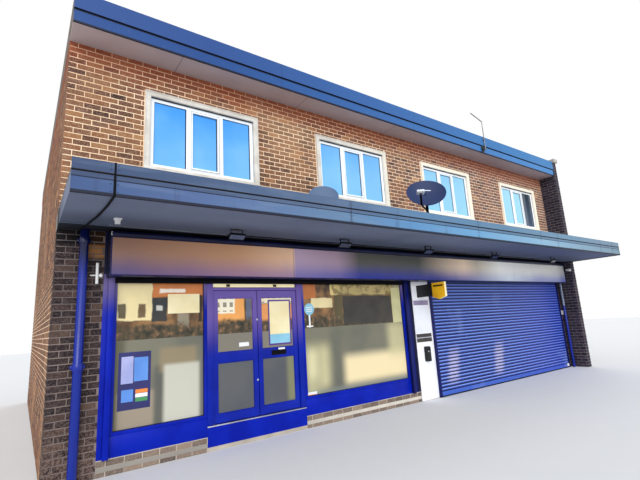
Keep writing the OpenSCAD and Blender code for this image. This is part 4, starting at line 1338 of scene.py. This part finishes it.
# %% Softened copies
softened = {
    "stall_risers": (0.005, blue_paint, "blue_paint"),
    "left_window_frame": (0.004, blue_paint, "blue_paint"),
    "right_window_frame": (0.004, blue_paint, "blue_paint"),
    "door_posts": (0.004, door_blue, "blue_paint"),
    "door_head": (0.003, door_blue, "blue_paint"),
    "door_threshold": (0.002, steel, "steel"),
    "white_panel": (0.003, white_board, "white_board"),
    "wall_bin": (0.004, black_metal, "black_metal"),
    "end_wall_coping": (0.006, coping_stone, "concrete"),
    "sign_hood": (0.003, navy, "navy_metal"),
    # The raised shutter is near black as painted shade in the gap under the sign.
    "raised_shutter": (0.003, pitch_black, "navy_metal"),
    "wall_fittings": (0.003, white_plastic, "white_plastic"),
    "downpipes": (0.003, pipe_blue, "blue_paint"),
}
for name, (width, finish, slot) in softened.items():
    dress(soften(copy_of(name), width), finish, slot, [name])

# %% [markdown]
# A thicker stone closes the coping in front. A black rubber strip covers the low sill under
# the wide shutter, and a white lock sits on the right end of its bottom rail. They are
# blocks, each set out from the node that it lies on.

# %% Front stone, bottom seal and lock
stone = block("front_stone", (end[0].x - 0.02, end[0].y - 0.075, end[1].z - 0.03),
              (end[1].x, end[0].y + 0.22, end[1].z + 0.085), 0.006, 2)
dress(stone, coping_stone, "concrete")
curtain_low, curtain_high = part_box("roller_shutter")
sill_low, sill_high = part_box("shop_plinth")
seal = block("bottom_seal", (curtain_low.x + 0.002, sill_low.y - 0.0015, 0.0),
             (sill_high.x - 0.002, curtain_high.y, 0.0215), 0.001)
dress(seal, pitch_black, "black_metal")
lock = block("shutter_lock", (curtain_high.x - 0.165, curtain_low.y - 0.024, 0.04),
             (curtain_high.x - 0.075, curtain_low.y + 0.001, 0.12), 0.008, 3)
dress(lock, white_plastic, "white_plastic")

# %% [markdown]
# The post beside the white panel is painted with light and shade: a darker blue with the
# highlight of one bright fold. The fold could be bent into the mesh, but its light and dark
# are all that one sees of it, and a ramp from the post's left edge to its right one gives
# them. The guides of the wide shutter are blue too, and the left one is a lighter blue.

# %% Shaded post and guides
SHADED_WIDTH = 0.27
post_left = right_pane[1].x + 0.045
shaded = Finish("shaded_post")
# Painted shade and highlight: dark blue with the bright highlight of one fold.
shaded.shade = shaded.ramp(
    shaded.along(post_left, post_left + SHADED_WIDTH), (0.0, 10, 14, 62), (0.3, 8, 10, 40),
    (0.5, 18, 32, 134), (0.62, 12, 20, 92), (0.7, 6, 8, 32), (1.0, 8, 10, 40))
shaded.cover(shaded.noise(3.0, 4, (1, 1, 0.4)) * 0.4, (16, 24, 96))
shaded.cover((shaded.x > 0.2) * (shaded.x < 3) * 0.8, (44, 66, 154))
shaded_post = shaded.surface(Roughness=0.4, Specular_IOR_Level=0.12)

posts = paint(soften(copy_of("shopfront_posts"), 0.006), blue_paint, shaded_post)
share_out(posts, lambda face: face.center.x > post_left - 0.001)
keep(posts, "blue_paint", ["shopfront_posts"])
guides = paint(soften(copy_of("shutter_guides"), 0.002), blue_paint, deep_blue)
share_out(guides, lambda face: face.center.x > post_left)
keep(guides, "blue_paint", ["shutter_guides"])

# %% [markdown]
# The doors are softened too. If they rode on the building they would stay shut when it is
# posed, so they ride on their own bodies, and so does all that is fixed to them. A bead
# holds each pane of a door, and dark gaskets run round the shop's panes.

# %% Door leaves and shop gaskets
LEFT_LEAF = "left_leaf"
RIGHT_LEAF = "right_leaf"
for name, body in (("door_left", LEFT_LEAF), ("door_right", RIGHT_LEAF)):
    dress(soften(copy_of(name), 0.0015, 1), door_blue, "blue_paint", [name], body)
    beads = [ring("%s_bead_%d" % (name, number), *on_face(*box, FRONT), 0.010, 0.007, FRONT, 0.002)
             for number, box in enumerate(boxes_of(name + "_glass"))]
    dress(join(name + "_beads", beads), door_blue, "blue_paint", body=body)

gaskets = [ring("shop_gasket_%d" % number, *on_face(*box, FRONT), 0.008, 0.005)
           for number, box in enumerate((left_pane, fan_pane, right_pane))]
dress(join("shop_gaskets", gaskets), rubber, "black_metal")

# %% [markdown]
# Sheets of paper and board are stuck to the panes. Each is plain, or has a few plain fields
# of colour, which are sheets of their own on top of it. They could be painted on the glass,
# but a sheet of 1 mm has an edge that catches the light.

# %% Sheets on the glass
SHEET = 0.001
ON_SHEET = PANE - SHEET


def stick(name, finish, left, right, low, high, face, thick=SHEET, body=HOUSE, slot="white_board"):
    """A flat sheet on a plane that looks to the front."""
    sheet = block(name, (left, face - thick, low), (right, face, high), edge=0.0003)
    dress(sheet, finish, slot, body=body)


stick("poster_back", navy_paper, -6.097, -5.672, 0.755, 1.518, PANE, slot="sign_face")
stick("poster_pale", lilac_paper, -6.06, -5.905, 1.10, 1.46, ON_SHEET)
stick("poster_blue", sky_paper, -5.895, -5.71, 1.12, 1.44, ON_SHEET)
stick("poster_field", sky_paper, -6.05, -5.90, 0.86, 1.02, ON_SHEET)
for number, finish in enumerate((orange_paper, white_paper, green_paper)):
    low = 0.96 - number * 0.055
    stick("poster_band_%d" % number, finish, -5.87, -5.71, low, low + 0.05, ON_SHEET)
stick("cream_sheet", cream_paper, -5.45, -4.968, 2.03, 2.32, PANE, slot="cast_cream")
stick("grey_board", brown_board, -2.1, -0.785, 1.70, 2.25, PANE, 0.004, slot="black_metal")
stick("pale_strip", olive_paper, -0.765, -0.5, FILM_TOP, 2.42, PANE, slot="cast_cream")
stick("small_label", white_paper, -3.035, -2.83, 0.44, 0.572, PANE)
stick("small_label_field", orange_paper, -3.02, -2.845, 0.455, 0.53, ON_SHEET)

# %% [markdown]
# A round sticker on the right-hand window has a stem below it. A flat circle would have no
# thickness, so it is a very short bar with many sides. Plain bands lie on it.

# %% Round sticker
STICKER = Vector((-2.907, PANE, 2.022))
DISC = 0.0012
disc = rod("round_sticker", STICKER - Vector((0, DISC, 0)), STICKER, 0.108, 48)
dress(disc, pale_sky, "sign_face")
for number, z in enumerate((1.975, 2.012, 2.049)):
    stick("sticker_band_%d" % number, white_paper, -2.97, -2.845, z, z + 0.016, PANE - DISC)
stick("sticker_stem", white_paper, -2.925, -2.89, 1.69, 1.92, PANE)
stick("sticker_bar", white_paper, -2.98, -2.835, 1.70, 1.725, ON_SHEET)

# %% [markdown]
# The notice, the white plate, the flap of the letter slot and the locks are on the leaves.
# They ride on the body of their leaf, so they turn with it.

# %% Things on the doors
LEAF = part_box("door_left_glass")[0].y
LEAF_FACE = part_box("door_posts")[0].y + 0.030
ON_LEAF = LEAF - SHEET
stick("left_plate", white_paper, -4.31, -4.135, 1.462, 1.525, LEAF, body=LEFT_LEAF)
stick("right_notice_edge", purple_paper, -3.762, -3.312, 1.435, 2.208, LEAF, body=RIGHT_LEAF)
stick("right_notice", cream_paper, -3.735, -3.339, 1.62, 2.18, ON_LEAF, body=RIGHT_LEAF)
stick("right_notice_foot", pale_sky, -3.735, -3.339, 1.465, 1.62, ON_LEAF, body=RIGHT_LEAF)
plate_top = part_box("letter_plate")[1].z
stick("letter_flap", white_plastic, -3.595, -3.467, plate_top + 0.001, plate_top + 0.033,
      LEAF_FACE, 0.003, RIGHT_LEAF, "white_plastic")
for number, (x, z) in enumerate(((-3.985, 1.88), (-4.0, 0.911))):
    cylinder = rod("lock_%d" % number, (x, LEAF_FACE - 0.006, z), (x, LEAF_FACE, z), 0.016, 32,
                   0.0015)
    dress(cylinder, steel, "steel", body=LEFT_LEAF)

# %% [markdown]
# The white panel beside the shutter carries a heading strip, a bare sheet and a dark band
# with a pale line. The small black box has a white dot, and the step under the doors has a
# painted face. They are made as the sheets on the glass are.

# %% Things on the white panel, step face
panel_low, panel_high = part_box("white_panel")
BOARD = panel_low.y
width = (panel_low.x + 0.01, panel_high.x - 0.05)
stick("panel_heading", print_paper, *width, 2.02, 2.125, BOARD)
stick("panel_sheet", sheet_paper, *width, 1.41, 2.01, BOARD)
stick("panel_band", brown_board, *width, 1.215, 1.395, BOARD, 0.002, slot="black_metal")
stick("panel_band_line", grey_paper, *width, 1.30, 1.318, BOARD - 0.002)
stick("panel_seam", grey_paper, panel_low.x + 0.003, panel_high.x - 0.003, 2.138, 2.143, BOARD)
bin_low, bin_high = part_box("wall_bin")
mark = Vector(((bin_low.x + bin_high.x) / 2, bin_low.y, 1.01))
through = Vector((0, 0.001, 0))
dress(rod("bin_mark", mark - through, mark + through, 0.013, 24), white_plastic, "white_plastic")
stick("step_face", blue_paint, bay_low.x, bay_high.x, CEMENT[0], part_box("door_threshold")[0].z,
      FACE + MORTAR_SINK, MORTAR_SINK + 0.001, slot="blue_paint")

# %% [markdown]
# ## Sign
# The sign's face is one long sheet of soft colour: brown on the left, violet in the middle
# and pale grey on the right, with one sharp seam, and every part of it is bluer at its
# foot. Two ramps run along it, one for its head and one for its foot, and the height mixes
# them.

# %% Sign face
SEAM = 0.225
face_low, face_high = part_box("sign_panels")
sign = Finish("sign_face")
share = sign.along(face_low.x, face_high.x)
head = sign.ramp(share, (0.0, 148, 110, 92), (0.143, 210, 158, 120), (SEAM - 0.001, 252, 206, 170),
                 (SEAM + 0.001, 200, 172, 196), (0.3, 182, 154, 172), (0.34, 92, 90, 84),
                 (0.475, 80, 82, 78), (0.6, 248, 220, 192), (0.64, 208, 194, 174),
                 (0.72, 255, 255, 248), (1.0, 190, 190, 186))
foot = sign.ramp(share, (0.0, 80, 68, 120), (0.143, 154, 116, 144), (SEAM - 0.001, 164, 134, 162),
                 (SEAM + 0.001, 122, 112, 174), (0.3, 92, 90, 164), (0.34, 16, 38, 148),
                 (0.52, 20, 32, 132), (0.62, 108, 108, 162), (0.75, 196, 208, 224),
                 (0.86, 130, 138, 188), (1.0, 100, 110, 172))
height = (sign.z - face_low.z) / (face_high.z - face_low.z)
cloud = sign.noise(2.6, 2, (1, 1, 0.4))
sign.shade = sign.mix(sign.step(height + (cloud - 0.5) * 0.16, 0.0, 0.72), foot, head)
sign_face = sign.surface(Roughness=0.22, Specular_IOR_Level=0.35)
dress(soften(copy_of("sign_panels"), 0.002, 1), sign_face, "sign_face", ["sign_panels"])
dress(soften(copy_of("sign_box"), 0.003), navy, "navy_metal", ["sign_box"])

# %% [markdown]
# A dark blue trim runs along the foot of the sign and up its ends. It stands 2 mm out, so
# that it reads as a strip of its own.

# %% Sign trims
TRIM = 0.016
TRIM_STAND = 0.002


def trim(name, left, right, low, high):
    return block(name, (left, face_low.y - TRIM_STAND, low), (right, face_low.y, high), 0.0008)


trims = [trim("foot_trim", face_low.x, face_high.x, face_low.z, face_low.z + TRIM),
         trim("left_trim", face_low.x, face_low.x + TRIM, face_low.z + TRIM, face_high.z),
         trim("right_trim", face_high.x - TRIM, face_high.x, face_low.z + TRIM, face_high.z)]
dress(join("sign_trims", trims), deep_blue, "navy_metal")

# %% [markdown]
# The light trough over the sign is closed by a cap with a round nose and a white lip. The
# nose is a short bar of the trough's own radius, and a plate closes what lies behind it.

# %% Hood cap
hood_low, hood_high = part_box("sign_hood")
nose = (hood_high.z - hood_low.z) / 2
middle = Vector((hood_low.x, hood_low.y + nose, hood_low.z + nose))
cap = join("hood_cap", [
    rod("cap_nose", middle - Vector((0.006, 0, 0)), middle + Vector((0.001, 0, 0)),
        nose * 0.98, 32),
    block("cap_plate", (hood_low.x - 0.006, middle.y, hood_low.z + 0.001),
          (hood_low.x + 0.001, hood_high.y, hood_high.z - 0.001), 0.001)])
dress(cap, navy, "navy_metal")
lip = block("hood_lip", (hood_low.x - 0.007, hood_low.y + 0.002, hood_low.z + 0.016),
            (hood_low.x + 0.004, hood_low.y + 0.012, hood_high.z - 0.022), 0.001)
dress(lip, white_plastic, "white_plastic")

# %% [markdown]
# The projecting sign is a black arm with a yellow shield. The shield has a pale edge and a
# plain dark bar on each side. Its faces are told apart by where they lie and look, so one
# copy of the node carries all three finishes.

# %% Projecting sign
shield_back = FACE - 0.47


def part_of_sign(face):
    """0 on the arm, 1 on the sides of the shield and 2 on its edge."""
    if face.center.y >= shield_back - 0.0005:
        return 0
    return 1 if abs(face.normal.x) > 0.9 else 2


shield = soften(copy_of("projecting_sign"), 0.003)
paint(shield, black_metal, yellow_plastic, cream_paper)
share_out(shield, part_of_sign)
keep(shield, "yellow_sign", ["projecting_sign"])
sign_low, sign_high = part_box("projecting_sign")
bars = [block("shield_bar_%d" % side, (x - 0.001, sign_low.y + 0.04, sign_high.z - 0.085),
              (x + 0.001, shield_back - 0.04, sign_high.z - 0.05), 0.0003)
        for side, x in enumerate((sign_low.x, sign_high.x))]
dress(join("shield_bars", bars), black_metal, "black_metal")

# %% [markdown]
# ## Under the canopy
# Each floodlight is a flat lamp in a strap. Its glass is set into a narrow rim: the face
# that looks down is inset and pushed in, as one would by hand. The lamps on the right are
# darker.

# %% Floodlights
lamp_shade = Finish("lamp_glass")
lamp_shade.shade = lamp_shade.mix(lamp_shade.noise(20, 2), (112, 118, 140), (70, 76, 96))
lamp_shade.cover(lamp_shade.step(lamp_shade.x, -3.6, -2.0) * 0.85, (26, 30, 46))
lamp_glass = lamp_shade.surface(Roughness=0.12, Specular_IOR_Level=0.3)

lamps = paint(soften(copy_of("floodlights"), 0.0015, 1), black_metal, lamp_glass)
pick_faces(lamps, lambda face: face.area > 0.015 and face.normal.z < -0.7)
bpy.ops.mesh.inset(thickness=0.009, use_individual=True)
bpy.ops.transform.shrink_fatten(value=-0.004)
bpy.ops.object.mode_set(mode="OBJECT")
share_out(lamps, lambda face: face.select)
keep(lamps, "black_metal", ["floodlights"])

# %% [markdown]
# A conduit links the lamps under the soffit, and a saddle holds it every 0.8 m. The saddle
# is modelled once. Linked copies would share its mesh, but a piece that is handed over has
# to be one mesh, so each copy gets its own and all are joined.

# %% Conduit
def repeat(name, piece, places):
    """The piece once at each place, as one mesh."""
    twins = []
    for place in places:
        twin = piece.copy()
        twin.data = piece.data.copy()
        twin.location = place
        scene.collection.objects.link(twin)
        twins.append(twin)
    bpy.data.objects.remove(piece)
    return settle(join(name, twins), name)


soffit = slab[0].z
lamp_middles = [(low.x + high.x) / 2 for low, high in boxes_of("floodlights")]
conduit_y = FACE - HOOD_DEPTH - 0.055
starts, stops = min(lamp_middles), max(lamp_middles)
conduit = rod("conduit", (starts, conduit_y, soffit - 0.011), (stops, conduit_y, soffit - 0.011),
              0.010, 12)
saddle = block("saddle", (-0.009, -0.02, -0.024), (0.009, 0.02, 0.0), 0.002)
saddles = repeat("saddles", saddle,
                 [(x, conduit_y, soffit) for x in np.arange(starts + 0.4, stops, 0.8)])
dress(join("light_conduit", [conduit, saddles]), black_metal, "black_metal")

# %% [markdown]
# A batten runs along the soffit in front of the sign and closes the recess behind it, whose
# dark is painted shade. Its left half has a bright metal lip, a painted highlight along the
# batten's edge. The lip could be a second finish on the batten, but it hangs 2 mm lower, so
# it is a block of its own.

# %% Soffit batten
batten_face = FACE - HOOD_DEPTH - 0.04
batten = block("soffit_batten", (pier[0].x, batten_face, soffit - 0.012),
               (end[0].x, FACE - HOOD_DEPTH, soffit), 0.002)
dress(batten, soffit_paint, "soffit_board")
# Painted highlight: a bright lip along the left half of the batten's edge.
batten_lip = block("batten_lip", (-6.36, batten_face - 0.006, soffit - 0.014),
                   (-3.9, batten_face + 0.002, soffit), 0.001)
dress(batten_lip, galvanised, "galvanised")

# %% [markdown]
# The boards of the canopy's edge are nailed on both sides of each joint. The nails of the
# lower strip lie deeper, because that strip is set back. One nail is made and repeated.

# %% Fascia nails
NAIL_RISES = (0.045, 0.13, 0.285, 0.335)
NAIL_OFFSET = 0.035
SET_BACK = 0.008
nail = rod("nail", (0, -0.002, 0), (0, 0.001, 0), 0.006, 10)
places = []
for joint in np.arange(FIRST_JOINT, clad_high.x, BOARD_PITCH):
    for side in (-1, 1):
        for nail_rise in NAIL_RISES:
            y = clad_low.y + (SET_BACK if nail_rise < CLAD_STEP else 0.0)
            places.append((joint + side * NAIL_OFFSET, y, clad_low.z + nail_rise))
dress(repeat("fascia_nails", nail, places), navy, "galvanised")
print(len(places), "nails")

# %% [markdown]
# The cable runs over the canopy: up behind the board, down its face and back along the
# soffit to the pier, a little aslant. A curve with a round bevel draws it along its whole
# way, which a row of bars would do less smoothly at the bends.

# %% Canopy cable
CABLE = 0.026
SLACK = (0.0, -0.005, -0.02, -0.04, -0.075, -0.11, -0.135)
half = CABLE / 2
cable_low, cable_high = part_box("canopy_cable")
behind_board = clad_low.y + 0.04 + half
before_board = cable_low.y + half
route = [(0.0, behind_board, over_canopy), (0.0, behind_board, cable_high.z - half),
         (0.0, before_board, cable_high.z - half), (0.0, before_board, cable_low.z + half),
         (0.0, behind_board, cable_low.z + half), (0.0, behind_board, soffit - half)]
along_soffit = np.linspace(clad_low.y + 0.04 + 0.08, FACE, len(SLACK))
route += [(aside, y, soffit - half) for aside, y in zip(SLACK, along_soffit)]

line = bpy.data.curves.new("canopy_cable_line", "CURVE")
line.dimensions = "3D"
line.bevel_depth = half
line.bevel_resolution = 3
spline = line.splines.new("POLY")
spline.points.add(len(route) - 1)
for point, (aside, y, z) in zip(spline.points, route):
    point.co = ((cable_low.x + cable_high.x) / 2 + aside, y, z, 1)
cable = bpy.data.objects.new("cable", line)
scene.collection.objects.link(cable)
choose(cable)
bpy.ops.object.convert(target="MESH")
dress(smooth(bpy.context.active_object), pitch_black, "black_metal", ["canopy_cable"])

# %% [markdown]
# ## Fittings
# The dishes get rounded edges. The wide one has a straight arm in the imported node, and the
# real arm sags under its receivers. So its faces before the bowl are picked in the dish's
# own frame and deleted, and the arm is made anew.

# %% Dishes
DISH_FOOT = Vector((-0.95, FACE - 1.33, over_canopy))
DISH_MIDDLE = 4.092
BEFORE_BOWL = -0.11
dish_place = Matrix.Translation((DISH_FOOT.x, DISH_FOOT.y, DISH_MIDDLE))
dish_place = dish_place @ Matrix.Rotation(radians(-40), 4, "Z") @ Matrix.Rotation(radians(-22), 4, "X")
into_dish = dish_place.inverted()
dishes = copy_of("satellite_dishes")
pick_faces(dishes, lambda face: face.center.x > -2
           and (into_dish @ face.center).y < BEFORE_BOWL)
bpy.ops.mesh.delete(type="FACE")
bpy.ops.object.mode_set(mode="OBJECT")
dress(soften(dishes, 0.002, 1), dish_grey, "dish_grey", ["satellite_dishes"])

# %% [markdown]
# The new arm is black and ends lower. The old one could be bent, but its ends would be bent
# too, and a round bar between two points is cleaner. A strut joins it to the pole, which is
# sleeved in black too.

# %% Arm and pole of the wide dish
SAG = Vector((-0.20, 0.05, -0.18))
arm_foot = dish_place @ Vector((-0.125, -0.05, -0.278))
arm_head = dish_place @ Vector((0, -0.40, -0.07)) + SAG
pole_top = Vector((DISH_FOOT.x, DISH_FOOT.y, 4.0))
strut_end = Vector((DISH_FOOT.x, DISH_FOOT.y, 3.76))
mount = join("dish_mount", [
    rod("arm_sleeve", arm_foot, arm_head, 0.019, 20, 0.003),
    rod("pole_sleeve", DISH_FOOT + UP * 0.012, pole_top, 0.027, 24, 0.003),
    rod("arm_strut", arm_foot, strut_end, 0.016, 16, 0.003)])
dress(mount, pitch_black, "black_metal")

# %% [markdown]
# A plain white strip lies in the bowl, and three receivers hang on the arm. They are made
# where the dish would look straight along Y, and then turned with it.

# %% Strip and receivers
label = block("dish_label", (-0.022, -0.020, 0.086), (0.132, -0.012, 0.106), 0.002)
label.matrix_world = dish_place @ Matrix.Rotation(radians(8), 4, "Y")
dress(settle(label, "dish_label"), receiver_cap, "galvanised")
receivers = [block("receiver_bar", (-0.07, -0.45, -0.08), (0.07, -0.39, -0.045), 0.003)]
for number, x in enumerate((-0.045, 0.0, 0.045)):
    receivers.append(rod("receiver_%d" % number, (x, -0.46, -0.0625), (x, -0.355, -0.0625),
                         0.024, 20, 0.003))
for receiver in receivers:
    receiver.matrix_world = Matrix.Translation(SAG) @ dish_place
receivers = settle(join("dish_receivers", receivers), "dish_receivers")
dress(receivers, receiver_cap, "galvanised")

# %% [markdown]
# The camera under the canopy looks out of a dark dome, which is a ball that shows only its
# lower half. Both cameras are softened copies.

# %% Cameras
def ball(name, middle, radius, segments):
    """A ball with half as many rings as segments."""
    bpy.ops.object.select_all(action="DESELECT")
    bpy.ops.mesh.primitive_uv_sphere_add(
        segments=segments, ring_count=segments // 2, radius=radius, location=middle)
    return smooth(settle(bpy.context.active_object, name), 60)


dome_low, dome_high = boxes_of("cameras")[0]
dome_middle = (dome_low + dome_high) / 2
dome = ball("camera_dome", (dome_middle.x, dome_middle.y, dome_low.z + 0.006), 0.026, 24)
dress(dome, lamp_glass, "black_metal")
dress(soften(copy_of("cameras"), 0.003), white_plastic, "white_plastic", ["cameras"])

# %% [markdown]
# A small white ball stands beside the tube on the pier, and two clips hold the fan light.
# They are too simple to draw and extrude, so they are put together from primitives.

# %% Pier fittings and clips
BALL = Vector((-6.373, FACE, 2.576))
pier_fittings = [
    ball("ball", BALL + Vector((0, -0.035, 0)), 0.028, 20),
    rod("ball_stem", BALL + Vector((0, -0.02, 0)), BALL + Vector((0, 0.004, 0)), 0.012, 16),
    rod("side_arm", (-6.50, FACE - 0.012, 2.578), (-6.435, FACE - 0.012, 2.578), 0.011, 12)]
dress(join("pier_fittings", pier_fittings), white_plastic, "white_plastic")
clips = [block("fan_clip_%d" % number, (x - 0.03, fan_pane[0].y - 0.02, 2.432),
               (x + 0.03, fan_pane[0].y + 0.001, 2.47), 0.003)
         for number, x in enumerate((-4.49, -3.62))]
dress(join("fan_clips", clips), rubber, "black_metal")

# %% [markdown]
# The mast of the aerial has a dark bracket on the roof's edge: a plate, and an arm that
# grips the mast. Both are folded from thick metal, and two blocks with round edges do.

# %% Mast bracket
MAST = 2.8
bracket = join("mast_bracket", [
    block("bracket_plate", (MAST - 0.14, fascia_low.y - 0.008, 6.06),
          (MAST - 0.04, fascia_low.y + 0.002, 6.22), 0.002),
    block("bracket_arm", (MAST - 0.14, fascia_low.y - 0.03, 6.13),
          (MAST + 0.02, fascia_low.y - 0.006, 6.16), 0.003)])
dress(bracket, black_metal, "black_metal")

# %% [markdown]
# The back door isn't seen in the photo, so it has what such a door always has: a plate with
# a lever handle and a lock under it.

# %% Back door handle
HANDLE_RISE = 1.06
LOCK_RISE = 0.97
door_low, door_high = rear_door
face_y = door_high.y - 0.010
lever_y = face_y + 0.045
handle = Vector((door_low.x + 0.065, face_y, door_low.z + HANDLE_RISE))
keyhole = Vector((handle.x, face_y, door_low.z + LOCK_RISE))
handle_parts = [
    block("handle_plate", (handle.x - 0.02, face_y, door_low.z + 0.93),
          (handle.x + 0.02, face_y + 0.004, door_low.z + 1.12), 0.001),
    rod("handle_spindle", handle, handle + Vector((0, 0.05, 0)), 0.009, 20, 0.001),
    rod("handle_lever", (handle.x - 0.009, lever_y, handle.z), (handle.x + 0.11, lever_y, handle.z),
        0.009, 20, 0.003),
    rod("handle_lock", keyhole, keyhole + Vector((0, 0.007, 0)), 0.009, 20, 0.001)]
dress(join("back_door_handle", handle_parts), steel, "steel")

# %% [markdown]
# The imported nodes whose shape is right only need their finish. Softening them too would add
# triangles that nobody sees.

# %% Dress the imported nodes
dressed = {
    concrete: ["ground_floor", "first_floor"],
    navy: ["shop_beam"],
    soffit_paint: ["canopy_slab"],
    cladding: ["canopy_fascia"],
    timber: ["roof_deck"],
    eaves_board: ["eaves_soffit"],
    roof_paint: ["roof_fascia"],
    felt_finish: ["felt_roofing"],
    sky_glass: ["window_glass"],
    door_glass: ["door_left_glass", "door_right_glass"],
    blue_paint: ["rear_door"],
    steel: ["door_hinges"],
    pitch_black: ["letter_plate"],
    shutter_blue: ["roller_shutter"],
    galvanised: ["roof_aerial"],
}
for finish, names in dressed.items():
    for name in names:
        paint(nodes[name], finish)
print(sum(len(names) for names in dressed.values()), "nodes dressed as they are")
